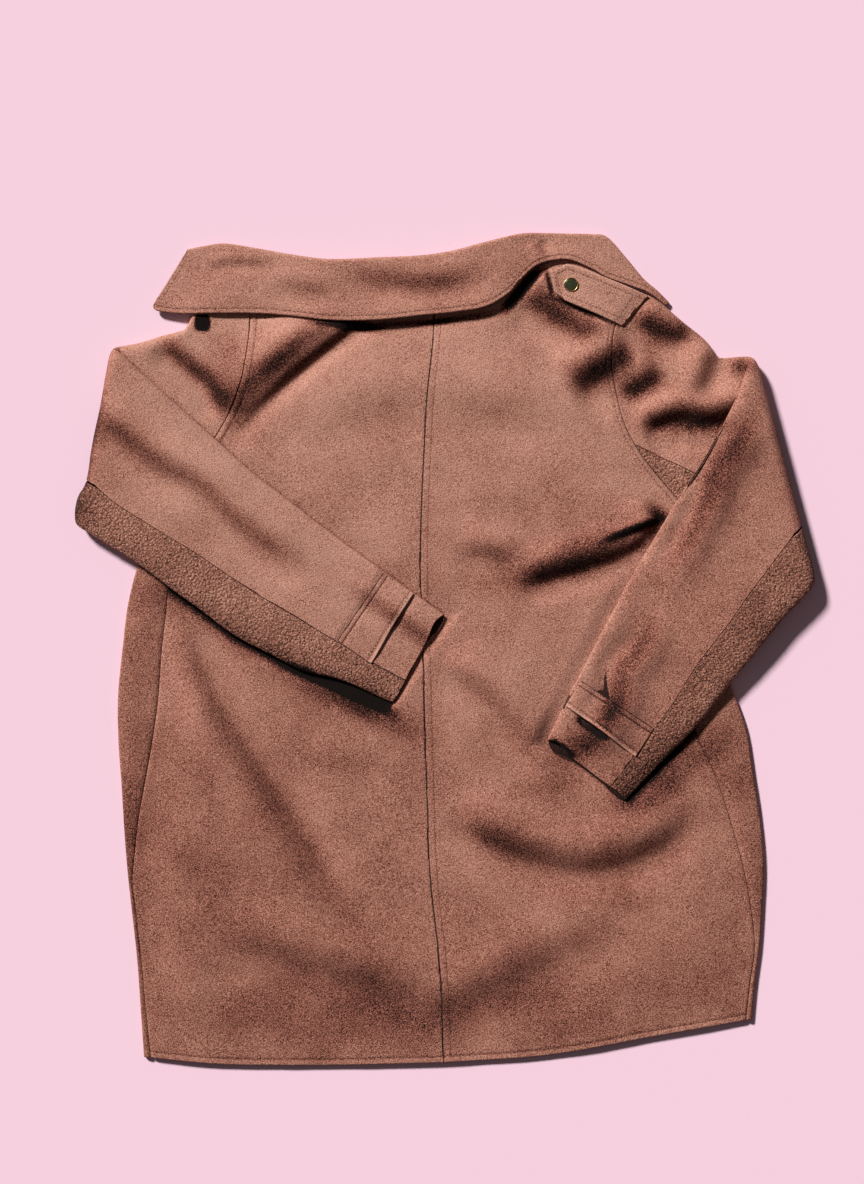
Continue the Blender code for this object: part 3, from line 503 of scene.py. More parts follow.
def patches_at(x, y, patches, edge=2):
    """Soft oval patches. The higher the edge's power, the squarer and crisper they are."""
    total = np.zeros(np.shape(x))
    for middle_x, middle_y, along, across, turn, amount in patches:
        angle = math.radians(turn)
        u = ((x - middle_x) * math.cos(angle) + (y - middle_y) * math.sin(angle)) / along
        v = (-(x - middle_x) * math.sin(angle) + (y - middle_y) * math.cos(angle)) / across
        total += amount * np.exp(-(np.abs(u) ** edge + np.abs(v) ** edge))
    return total


def tone_at(x, y):
    """How much lighter or darker the nap is painted: its patches, with painted shade, and a painted falloff
    of the light towards the hem.
    """
    return patches_at(x, y, PATCHES) + np.clip(y, -TONE_REACH, TONE_REACH) / TONE_RISE + TONE_OFFSET


# ---------------------------------------------------------------- materials


def new_material(name):
    made = bpy.data.materials.new(name)
    made.use_nodes = True
    made.node_tree.nodes.clear()
    output = made.node_tree.nodes.new("ShaderNodeOutputMaterial")
    shader = made.node_tree.nodes.new("ShaderNodeBsdfPrincipled")
    made.node_tree.links.new(shader.outputs["BSDF"], output.inputs["Surface"])
    return made, shader


NAP_SCALE = 620.0
CLOUDS = 0.75  # how much the broad clouds of the nap change its tone
TONE_MIDDLE = 0.58
TONE_SHARE = 0.3  # part of the colour ramp for a tone of 1
PEBBLE_SCALE = 330.0
PEBBLE_BUMP = 1.2


def cloth_material(name, stops, grain=1.0, bump=1.0, pebbles=0.0):
    """Suede: soft clouds of nap, fine grain, and the tone of each place from the mesh, which carries
    painted shade and painted light as well as the nap's patches.
    """
    made, shader = new_material(name)
    nodes = made.node_tree.nodes
    links = made.node_tree.links
    shader.inputs["Roughness"].default_value = 0.92
    shader.inputs["Specular IOR Level"].default_value = 0.15
    shader.inputs["Sheen Weight"].default_value = 0.12
    shader.inputs["Sheen Roughness"].default_value = 0.4
    shader.inputs["Sheen Tint"].default_value = (0.9, 0.62, 0.52, 1)
    place = nodes.new("ShaderNodeTexCoord")

    def noise(scale, detail, roughness):
        node = nodes.new("ShaderNodeTexNoise")
        node.inputs["Scale"].default_value = scale
        node.inputs["Detail"].default_value = detail
        node.inputs["Roughness"].default_value = roughness
        links.new(place.outputs["Object"], node.inputs["Vector"])
        return node.outputs["Fac"]

    def times_plus(a, factor, b):
        node = nodes.new("ShaderNodeMath")
        node.operation = "MULTIPLY_ADD"
        links.new(a, node.inputs[0])
        node.inputs[1].default_value = factor
        if isinstance(b, float):
            node.inputs[2].default_value = b
        else:
            links.new(b, node.inputs[2])
        return node.outputs[0]

    broad = noise(9, 4, 0.65)
    spots = noise(60, 3, 0.6)
    nap = noise(NAP_SCALE, 2, 0.7)
    fine = noise(2.1 * NAP_SCALE, 1, 0.5)
    weights = (CLOUDS, 0.2 * CLOUDS, 1.6 * grain, 1.9 * grain)
    level = TONE_MIDDLE - sum(weights) / 2
    total = times_plus(broad, weights[0], level)
    total = times_plus(spots, weights[1], total)
    total = times_plus(nap, weights[2], total)
    total = times_plus(fine, weights[3], total)
    if pebbles > 0:
        stones = nodes.new("ShaderNodeTexVoronoi")
        stones.inputs["Scale"].default_value = PEBBLE_SCALE
        stones.inputs["Randomness"].default_value = 1.0
        links.new(place.outputs["Object"], stones.inputs["Vector"])
        gaps = stones.outputs["Distance"]
        total = times_plus(gaps, -pebbles, total)
    tone = nodes.new("ShaderNodeAttribute")
    tone.attribute_name = "tone"
    toned = times_plus(tone.outputs["Fac"], TONE_SHARE, total)
    ramp = nodes.new("ShaderNodeValToRGB")
    bands = ramp.color_ramp.elements
    bands[0].position = stops[0][0]
    bands[0].color = (*stops[0][1], 1)
    bands[1].position = stops[-1][0]
    bands[1].color = (*stops[-1][1], 1)
    for position, colour in stops[1:-1]:
        bands.new(position).color = (*colour, 1)
    links.new(toned, ramp.inputs["Fac"])
    links.new(ramp.outputs["Color"], shader.inputs["Base Color"])
    rough = times_plus(nap, 1.0, times_plus(fine, 0.5, 0.0))
    if pebbles > 0:
        rough = times_plus(gaps, -PEBBLE_BUMP, rough)
    relief = nodes.new("ShaderNodeBump")
    relief.inputs["Strength"].default_value = 1.0
    relief.inputs["Distance"].default_value = bump * MM
    links.new(rough, relief.inputs["Height"])
    links.new(relief.outputs["Normal"], shader.inputs["Normal"])
    return made


def plain_material(name, colour, roughness, metallic=0.0):
    """Colour with fine uneven wear, for the thread, the brass and the snap's cap."""
    made, shader = new_material(name)
    nodes = made.node_tree.nodes
    links = made.node_tree.links
    shader.inputs["Roughness"].default_value = roughness
    shader.inputs["Metallic"].default_value = metallic
    place = nodes.new("ShaderNodeTexCoord")
    spots = nodes.new("ShaderNodeTexNoise")
    spots.inputs["Scale"].default_value = 900
    spots.inputs["Detail"].default_value = 3
    links.new(place.outputs["Object"], spots.inputs["Vector"])
    ramp = nodes.new("ShaderNodeValToRGB")
    ramp.color_ramp.elements[0].position = 0.3
    ramp.color_ramp.elements[0].color = (*[c * 0.55 for c in colour], 1)
    ramp.color_ramp.elements[1].position = 0.7
    ramp.color_ramp.elements[1].color = (*colour, 1)
    links.new(spots.outputs["Fac"], ramp.inputs["Fac"])
    links.new(ramp.outputs["Color"], shader.inputs["Base Color"])
    return made


# The near-black lowest stops are reached mostly where painted shade and painted shadows pull the tone down
DEEPEST = (0.0, (0.004, 0.0015, 0.001))
SUEDE = cloth_material("suede", [
    DEEPEST, (0.14, (0.115, 0.029, 0.020)), (0.36, (0.255, 0.088, 0.060)),
    (0.58, (0.380, 0.163, 0.115)), (1.0, (0.58, 0.312, 0.235)),
])
# The cloth's wrong side, painted near black as shade wherever the inner face shows, as inside the cuffs
WRONG_SIDE_IN_PAINTED_SHADE = cloth_material("wrong_side_in_painted_shade", [
    (0.0, (0.003, 0.0015, 0.001)), (0.58, (0.03, 0.012, 0.009)), (1.0, (0.07, 0.032, 0.024)),
])
ROUGH = cloth_material("rough_suede", [
    DEEPEST, (0.14, (0.085, 0.027, 0.018)), (0.36, (0.21, 0.080, 0.055)),
    (0.58, (0.360, 0.155, 0.106)), (1.0, (0.57, 0.305, 0.225)),
], grain=1.1, bump=1.2, pebbles=0.3)
THREAD = plain_material("thread", (0.12, 0.05, 0.035), 0.8)
BRASS = plain_material("brass", (0.62, 0.47, 0.20), 0.32, 1.0)
OLIVE = plain_material("snap_cap", (0.055, 0.06, 0.028), 0.35, 0.4)


# ---------------------------------------------------------------- meshes


RAY_START = 0.2  # metres up, from where a ray looks down at a piece
DOWN = Vector((0, 0, -1))


def unit(v):
    return v / np.maximum(np.linalg.norm(v, axis=-1, keepdims=True), 1e-9)


def grid_normals(points):
    return unit(np.cross(np.gradient(points, axis=1), np.gradient(points, axis=0)))


def put_in_scene(name, data):
    made = bpy.data.objects.new(name, data)
    bpy.context.scene.collection.objects.link(made)
    return made


def add_object(name, vertices, faces, materials, slots=None, tone=None):
    mesh = bpy.data.meshes.new(name)
    mesh.from_pydata((np.asarray(vertices) * MM).tolist(), [], faces)
    mesh.shade_smooth()
    for made in materials:
        mesh.materials.append(made)
    if slots is not None:
        mesh.polygons.foreach_set("material_index", np.asarray(slots, np.int32))
    if tone is not None:
        layer = mesh.attributes.new("tone", "FLOAT", "POINT")
        layer.data.foreach_set("value", np.asarray(tone, np.float32))
    mesh.update()
    piece = put_in_scene(name, mesh)
    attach(piece, "root")
    return piece


def shell(name, points, materials, thickness=CLOTH, present=None, flip=False, tone=None):
    """A closed wall of cloth with a round rim, from a grid of points at its middle."""
    rows, columns = points.shape[:2]
    if present is None:
        present = np.ones((rows - 1, columns - 1), bool)
    normals = grid_normals(points)
    if flip:
        normals = -normals
    index = np.arange(rows * columns).reshape(rows, columns)
    corner = [index[:-1, :-1], index[:-1, 1:], index[1:, 1:], index[1:, :-1]]
    if flip:
        corner = corner[::-1]
    quads = np.stack(corner, axis=-1)[present]
    half = thickness / 2
    flat = points.reshape(-1, 3).copy()
    up = normals.reshape(-1, 3)
    starts = quads.ravel()
    ends = np.roll(quads, -1, axis=1).ravel()
    size = rows * columns
    alone = ~np.isin(starts * size + ends, ends * size + starts)
    border = np.column_stack([starts[alone], ends[alone]])
    outward = np.zeros_like(flat)
    direction = unit(flat[border[:, 1]] - flat[border[:, 0]])
    sideways = unit(np.cross(direction, up[border[:, 0]]))
    np.add.at(outward, border[:, 0], sideways)
    np.add.at(outward, border[:, 1], sideways)
    rim = np.unique(border)
    outward[rim] = unit(outward[rim])
    flat[rim] -= outward[rim] * RIM_SHARE * half
    count = len(flat)
    rim_index = np.full(count, -1)
    rim_index[rim] = np.arange(len(rim))
    outer = flat + up * half
    inner = flat - up * half
    ring = flat[rim] + outward[rim] * RIM_SHARE * half
    ring_high = ring + up[rim] * half * 0.5
    ring_low = ring - up[rim] * half * 0.5
    vertices = np.concatenate([outer, inner, ring_high, ring_low])
    high = 2 * count + rim_index
    low = high + len(rim)
    a, b = border[:, 0], border[:, 1]
    faces = np.concatenate([
        quads, quads[:, ::-1] + count,
        np.stack([b, a, high[a], high[b]], axis=-1),
        np.stack([high[b], high[a], low[a], low[b]], axis=-1),
        np.stack([low[b], low[a], a + count, b + count], axis=-1),
    ])
    slots = np.zeros(len(faces), int)
    slots[len(quads):2 * len(quads)] = 1
    if tone is None:
        tone = np.zeros((rows, columns))
    tone = tone.reshape(-1)
    tones = np.concatenate([tone, tone, tone[rim], tone[rim]])
    used = np.unique(faces)
    renumber = np.zeros(len(vertices), int)
    renumber[used] = np.arange(len(used))
    kept_faces = renumber[faces].tolist()
    return add_object(name, vertices[used], kept_faces, materials, slots, tones[used])


def spread(width, start, end, middle):
    """Places across a row: close together near both edges and even between."""
    start = np.array(start, float)
    end = np.array(end, float)
    between = np.linspace(start[-1], width - end[-1], middle + 2)[1:-1]
    return np.concatenate([start, between, width - end[::-1]])


# ---------------------------------------------------------------- sleeves


def sleeve_axes(side):
    """Plan directions down the fold line and out past it."""
    fold_x, fold_y = SLEEVE[side]["fold_along"]
    out_x, out_y = (fold_y, -fold_x) if side == "left" else (-fold_y, fold_x)
    return fold_x, fold_y, out_x, out_y


def sleeve_plane(sleeve, along, across):
    """How far past the fold, and how far down along it."""
    length = math.hypot(1, sleeve["slant"])
    return (along - sleeve["slant"] * across) / length, (sleeve["slant"] * along + across) / length


def sleeve_place(side, along, across, depth, lift=0.0):
    """A point of the folded sleeve. depth is measured up in the part that leaves the armhole."""
    sleeve = SLEEVE[side]
    past, down = sleeve_plane(sleeve, along, across)
    fold_x, fold_y, out_x, out_y = sleeve_axes(side)
    angle = np.clip((past + HALF_TURN) / FOLD_RADIUS, 0, math.pi)
    reach = FOLD_RADIUS - depth
    bend_out = reach * np.sin(angle) - FOLD_RADIUS - FOLD_DEPTH
    bend_up = FOLD_BASE + FOLD_RADIUS - reach * np.cos(angle)
    out = np.where(past > HALF_TURN, SLACK - past, bend_out)
    out = np.where(past < -HALF_TURN, past + SLACK, out)
    if side == "left":
        out = out - LEFT_ELBOW.at("tuck", down) * hump(past, ELBOW_REACH)
    up = np.where(past < -HALF_TURN, FOLD_BASE + depth, bend_up)
    up = np.where(past > HALF_TURN, RETURN[side].at("middle", past) - depth, up) + lift
    x = sleeve["middle"][0] + out * out_x + down * fold_x
    y = sleeve["middle"][1] + out * out_y + down * fold_y
    return np.stack([x, y, up], axis=-1)


def sleeve_row(side, row):
    """For one row of the sleeve, the place along it as a function of the place across it."""
    sleeve = SLEEVE[side]
    length = math.hypot(1, sleeve["slant"])
    cuff, cuff_slant = sleeve["cuff"]

    def bend(across, past):
        return past * length + sleeve["slant"] * across

    def place(across):
        if row <= IN_ROWS:
            hole = sleeve["armhole"]
            lean = (hole.at("along", across + 1) - hole.at("along", across - 1)) / 2
            start = hole.at("along", across) + ARMHOLE_GAP * np.hypot(1, lean)
            return mix(start, bend(across, -HALF_TURN), row / IN_ROWS)
        if row <= IN_ROWS + BEND_STEPS:
            turned = (row - IN_ROWS) / BEND_STEPS
            return bend(across, HALF_TURN * (2 * turned - 1))
        t = (row - IN_ROWS - BEND_STEPS) / OUT_ROWS
        return mix(bend(across, HALF_TURN), cuff + cuff_slant * across, t)

    return place


def sleeve_edges(side, place):
    """Where the upper edge, the lower edge and the seam cross a row."""
    found = []
    for name in ("upper", "lower", "seam"):
        across = np.float64(0)
        for _ in range(12):
            across = SLEEVE[side]["edges"].at(name, place(across))
        found.append(float(across))
    return found


def armhole_ends(side):
    """First and last place across the armhole."""
    upper, lower, seam = sleeve_edges(side, sleeve_row(side, 0))
    return lower - ARMHOLE_EDGE, upper + ARMHOLE_EDGE


def armhole_height(side, across):
    first, last = armhole_ends(side)
    return ARMHOLE_TOP.at("height", (across - first) / (last - first))


def armhole_point(side, across):
    along = SLEEVE[side]["armhole"].at("along", across)
    return sleeve_place(side, along, across, 0.0)[..., :2]


def up_facing(points, flip):
    """1 where the surface faces up, 0 where it faces sideways or down."""
    normals = grid_normals(points)
    up = -normals[..., 2] if flip else normals[..., 2]
    return smooth((up - 0.15) / 0.7)


def rounded(points, strength):
    """Uneven softness of the cloth, larger and finer."""
    broad = value_noise(points * (1, 1, 0), 58, 3) * 0.8
    small = value_noise(points * (1, 1, 0), 21, 5) * 0.3
    return (broad + small) * strength


def sleeve_ring(side, row, over_at, under_at, arc):
    """One row round the tube: points of the upper sleeve and of the under-sleeve."""
    place = sleeve_row(side, row)
    upper, lower, seam = sleeve_edges(side, place)
    leaving = min(row / IN_ROWS, 1.0)
    edge = mix(ARMHOLE_EDGE, TUBE_EDGE, float(smooth(leaving)))
    start = IN_ROWS - 0.4
    end = IN_ROWS + BEND_STEPS + 0.2
    in_bend = smooth((row - start) / 0.4) * smooth((end - row) / 0.2)
    returned = (row - IN_ROWS - BEND_STEPS) / OUT_ROWS
    near_cuff = smooth((returned - MOUTH_FROM) / (1 - MOUTH_FROM)) ** 1.5
    flattened = 0.5 * smooth((returned - FLATTER_FROM) / (1 - FLATTER_FROM))
    mouth = SLEEVE[side]["mouth"]
    gap = mix(SEAM_GAP / 2, BEND_SEAM_GAP / 2, in_bend)
    under = mix(lower - edge, seam + gap, under_at)
    over = mix(seam - gap, upper + edge, over_at)
    upper_arc = upper + edge - edge * np.sin(arc)
    lower_arc = lower - edge + edge * np.sin(arc)
    across_over = np.concatenate([over, upper_arc, over[::-1]])
    turn_over = np.concatenate([0 * over, arc, math.pi + 0 * over])
    across_under = np.concatenate([under[::-1], lower_arc, under])
    turn_under = np.concatenate([0 * under, arc, math.pi + 0 * under])
    rings = []
    for across, turn in ((across_over, turn_over), (across_under, turn_under)):
        on_top = (1 - np.cos(turn)) / 2
        uneven = mix(mouth.at("bottom", across), mouth.at("top", across), on_top)
        along = place(across) + near_cuff * uneven
        past, _ = sleeve_plane(SLEEVE[side], along, across)
        half = np.where(past > 0, RETURN[side].at("depth", past), FOLD_DEPTH)
        flatter = flattened * smooth((across + 42.0) / 30.0) * half
        depth = (half - flatter) * np.cos(turn)
        points = sleeve_place(side, along, across, depth)
        points[:, 2] -= flatter
        if row < IN_ROWS:
            flat = FOLD_BASE - FOLD_DEPTH
            rise = (armhole_height(side, across) - flat) * (1 + np.cos(turn)) / 2
            points[:, 2] = mix(flat + rise, points[:, 2], float(smooth(leaving)))
        rings.append(points)
    return rings


def sleeve_grids(side, row_step, over_count, under_count, arc_count):
    """Points of both sleeve pieces, row by row, and how far each row has turned back."""
    turn_row = IN_ROWS + BEND_STEPS
    in_length = 170.0
    out_length = 440.0
    going_out = spread(in_length, (0, 1.3, 2.8), (0,), int(in_length / row_step)) / in_length
    going_back = spread(out_length, (0,), (0, 1.3, 2.8), int(out_length / row_step))[1:] / out_length
    rows = np.concatenate([
        IN_ROWS * going_out, np.linspace(IN_ROWS, turn_row, 15)[1:], turn_row + OUT_ROWS * going_back,
    ])
    over_width = 145.0
    under_width = 30.0
    over_at = spread(over_width, (0, 1.0, 2.2), (0,), over_count) / over_width
    under_at = spread(under_width, (0,), (0, 1.0), under_count) / under_width
    arc = np.linspace(0, math.pi, arc_count + 2)[1:-1]
    rings = [sleeve_ring(side, row, over_at, under_at, arc) for row in rows]
    over = np.array([ring[0] for ring in rings])
    under = np.array([ring[1] for ring in rings])
    return over, under, smooth((rows - IN_ROWS) / BEND_STEPS)[:, None]


def plan_place(side, x, y):
    """Place along and across the folded-back sleeve below a point in plan."""
    sleeve = SLEEVE[side]
    fold_x, fold_y, out_x, out_y = sleeve_axes(side)
    from_x = x - sleeve["middle"][0]
    from_y = y - sleeve["middle"][1]
    past = SLACK - (from_x * out_x + from_y * out_y)
    down = from_x * fold_x + from_y * fold_y
    length = math.hypot(1, sleeve["slant"])
    return (past + sleeve["slant"] * down) / length, (down - sleeve["slant"] * past) / length


def contact_shade(x, y):
    """Painted shadow in the nap's tone, close beside the folded-back sleeves."""
    total = np.zeros(np.shape(x))
    for side in SIDES:
        sleeve = SLEEVE[side]
        along, across = plan_place(side, x, y)
        past, _ = sleeve_plane(sleeve, along, across)
        outside = {
            "upper": sleeve["edges"].at("upper", along) - across,
            "lower": across - sleeve["edges"].at("lower", along),
            "cuff": along - sleeve["cuff"][0] - sleeve["cuff"][1] * across,
            "fold": -past,
        }
        low_side = smooth((across + 60.0) / 40.0)
        shade = mix(CONTACT[side], CONTACT_BELOW, low_side)
        for edge, away in outside.items():
            shade = shade * hump(np.maximum(away, 0), CONTACT_REACH[edge])
        total += shade
    return total


def dress_sleeve(side, points, higher, rough):
    """Folds, softness and seam roll on a sleeve's grid, and the painted shade of its folds with the painted
    shadows beside its edges.
    """
    flip = (side == "right") != rough
    facing = up_facing(points, flip)
    x, y, z = points[..., 0], points[..., 1], points[..., 2]
    leaving, leaving_shade = fold_relief(x, y, SHOULDER_FOLDS)
    coming_back, back_shade = fold_relief(x, y, SLEEVE_FOLDS)
    lower = 1 - higher
    relief = leaving * lower + coming_back * higher + rounded(points, 0.9)
    relief -= tab_well(side, *plan_place(side, x, y)) * higher
    shade = (leaving_shade * lower + back_shade * higher) * facing
    if rough:
        pebble = value_noise(points, 3.1, 11) + 0.7 * value_noise(points, 1.7, 12)
        normals = grid_normals(points) * (-1 if flip else 1)
        points = points + normals * (pebble * 0.3 * smooth((z - 1.5) / 2.0))[..., None]
    on_top = facing * smooth((z - 3.0) / 2.0)
    points = points.copy()
    raised = z + relief * on_top
    points[..., 2] = mix(raised, soft_floor(raised, LEAST_HEIGHT, 0.7), on_top)
    shade += patches_at(x, y, PAINTED_SHADOWS, 4) * facing + contact_shade(x, y) * lower
    return points, shade


def build_sleeve(side):
    flip = side == "right"
    upper, _, upper_back = sleeve_grids(side, row_step=3.6, over_count=44, under_count=9, arc_count=7)
    _, under, under_back = sleeve_grids(side, row_step=1.7, over_count=20, under_count=22, arc_count=9)
    upper, upper_shade = dress_sleeve(side, upper, upper_back, rough=False)
    under, under_shade = dress_sleeve(side, under, under_back, rough=True)
    upper_shade[:, [0, -1]] += SLEEVE_SEAM_SHADE
    # The tone takes off the painted shade of the folds and the painted shadows beside edges
    tones = []
    for grid, shade in ((upper, upper_shade), (under, under_shade)):
        tones.append(tone_at(grid[..., 0], grid[..., 1]) + SLEEVE_TONE[side] - shade)
    made = [
        shell(f"upper_sleeve_{side}", upper, [SUEDE, WRONG_SIDE_IN_PAINTED_SHADE], flip=flip, tone=tones[0]),
        shell(f"under_sleeve_{side}", under, [ROUGH, WRONG_SIDE_IN_PAINTED_SHADE], flip=not flip, tone=tones[1]),
    ]
    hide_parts(f"sleeve_upper_{side}")
    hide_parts(f"sleeve_under_{side}")
    return made


def tab_well(side, along, across):
    """How far the sleeve dips under its tab, so that the tab's sewn end lies level with it."""
    start, end, upper, lower = SLEEVE[side]["tab"]
    inside_ends = np.minimum(along - start, end - along)
    inside_edges = np.minimum(across - upper - TAB_UPPER_INSET, lower + TAB_LOWER_OUTSET - across)
    return TAB_WELL * smooth((np.minimum(inside_ends, inside_edges) + 3.2) / 2.4)


def sleeve_top(side, along, across, above):
    """Places on the outside of the folded-back sleeve, with its folds."""
    past, _ = sleeve_plane(SLEEVE[side], along, across)
    into_edge = SLEEVE[side]["edges"].at("upper", along) + TUBE_EDGE - across
    round_edge = np.clip(into_edge / TUBE_EDGE, 0, 0.98)
    depth = RETURN[side].at("depth", past) * np.sqrt(1 - round_edge**2)
    points = sleeve_place(side, along, across, -depth, above)
    points[..., 2] += fold_relief(points[..., 0], points[..., 1], SLEEVE_FOLDS)[0] + rounded(points, 0.9)
    return points


def build_cuff_tab(side, sleeve):
    """A flap that lies on the upper sleeve, sewn at one end and bulging open at the other."""
    start, end, upper, lower = SLEEVE[side]["tab"]
    first = upper + TAB_UPPER_INSET
    across = spread(lower + TAB_LOWER_OUTSET - first, (0, 1.3, 2.6), (0, 1.3, 2.6), 30) + first
    near_sewn_end = (0, 0.7, 1.5, 3, 4.6, 5.4, 6, 6.6, 7.4, 9)
    near_free_end = (0, 1.3, 2.8, 4, 5, 6, 7.4, 9)
    along = spread(end - start, near_sewn_end, near_free_end, 6) + start
    t = ((along - start) / (end - start))[:, None]
    u = ((across - across[0]) / (across[-1] - across[0]))[None, :]
    bulge = hump(u - 0.45, 0.28)
    from_seam = mix(0.2, 1.0, smooth((1 - u) / 0.15))
    lift = 0.2 + CLOTH / 2 + smooth((t - 0.2) / 0.8) * (1.2 + TAB_OPEN[side] * bulge) * from_seam
    bow = smooth(t) * 1.2 * bulge
    grid_along = along[:, None] - bow + 5.0 * smooth(t) * (u - 0.5) + 0 * u
    grid_across = across[None, :] + 0 * t
    points = sleeve_top(side, grid_along, grid_across, -TAB_WELL)
    tree = BVHTree.FromObject(sleeve, bpy.context.evaluated_depsgraph_get())
    for place in np.ndindex(points.shape[:2]):
        hit = tree.ray_cast(Vector((*points[place][:2] * MM, RAY_START)), DOWN)[0]
        if hit is not None and hit.z / MM > points[place][2] - 2.5:
            points[place][2] = hit.z / MM
        else:
            points[place][2] += CLOTH / 2
    points[..., 2] += lift
    distance = along[:, None] - start + 0 * u
    tone = tone_at(points[..., 0], points[..., 1]) + SLEEVE_TONE[side]
    # the painted shade of the sleeve's folds carries on over the tab
    tone -= fold_relief(points[..., 0], points[..., 1], SLEEVE_FOLDS)[1]
    sewn_lines = (
        (0.0, 0.3, 3.5), (TAB_SEWN_STITCH, 0.7, 2.6), (end - start - TAB_FREE_STITCH, STITCH_GROOVE, 0.8),
    )
    for line, deep, dark in sewn_lines:
        points[..., 2] -= deep * hump(distance - line, 0.9)
        tone -= dark * hump(distance - line, 0.8)
    tone += 1.5 * smooth((distance - (end - start) + 4.0) / 2.0)
    piece = shell(f"tab_{side}", points, [SUEDE, WRONG_SIDE_IN_PAINTED_SHADE], flip=side == "right", tone=tone)
    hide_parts(f"cuff_tab_{side}")
    return piece


# ---------------------------------------------------------------- back and fronts


def in_sleeve(side, x, y, margin):
    """1 under the folded-back sleeve, 0 away from it."""
    sleeve = SLEEVE[side]
    along, across = plan_place(side, x, y)
    above = across - sleeve["edges"].at("upper", along)
    below = sleeve["edges"].at("lower", along) - across
    before = sleeve["cuff"][0] - along
    inside = np.minimum(np.minimum(above, below), (before + 4.0) * 2.2)
    return smooth((inside + margin) / margin)


def under_sleeves(height, x, y):
    for side in SIDES:
        under = in_sleeve(side, x, y, UNDER_SLEEVE_MARGIN)
        height = mix(height, np.minimum(height, UNDER_SLEEVE_HEIGHT), under)
    return height


def seam_rows(side, step):
    """Levels up the side seam, close together at the hem."""
    levels = SIDE[side]["y"]
    length = levels[-1] - levels[0]
    near_hem = (0, 1.3, 2.8, 4.2, 5.4, 6.6, 7.8, 9.2, 11.5, 14.5)
    return levels[0] + spread(length, near_hem, (0,), int(length / step))


def armhole_rows(side, step):
    """Places across the armhole, evenly spaced along its edge."""
    dense = np.linspace(*armhole_ends(side), 400)
    run = runs(armhole_point(side, dense))
    return np.interp(np.linspace(0, run[-1], int(run[-1] / step)), run, dense)


def patch(outer, inner, across, bottom, top, top_pull):
    """Rows from inner to outer points, bent near the two ends to follow bottom and top."""
    share = (outer[:, 1] - outer[0, 1]) / (outer[-1, 1] - outer[0, 1])
    rows = []
    for place, start, end, t in zip(share, inner, outer, across):
        line = start + (end - start) * t[:, None]
        low = bottom(t) - (inner[0] + (outer[0] - inner[0]) * t[:, None])
        high = top(t) - (inner[-1] + (outer[-1] - inner[-1]) * t[:, None])
        rows.append(line + low * (1 - place) ** 3 + high * place**top_pull)
    return np.array(rows)


def groove(distance, at, depth=STITCH_GROOVE):
    return depth * hump(distance - at, GROOVE_WIDTH)


def seam_roll(distance, depth=0.9, reach=1.6):
    """The cloth turns down where it meets a seam."""
    return depth * hump(distance, reach)


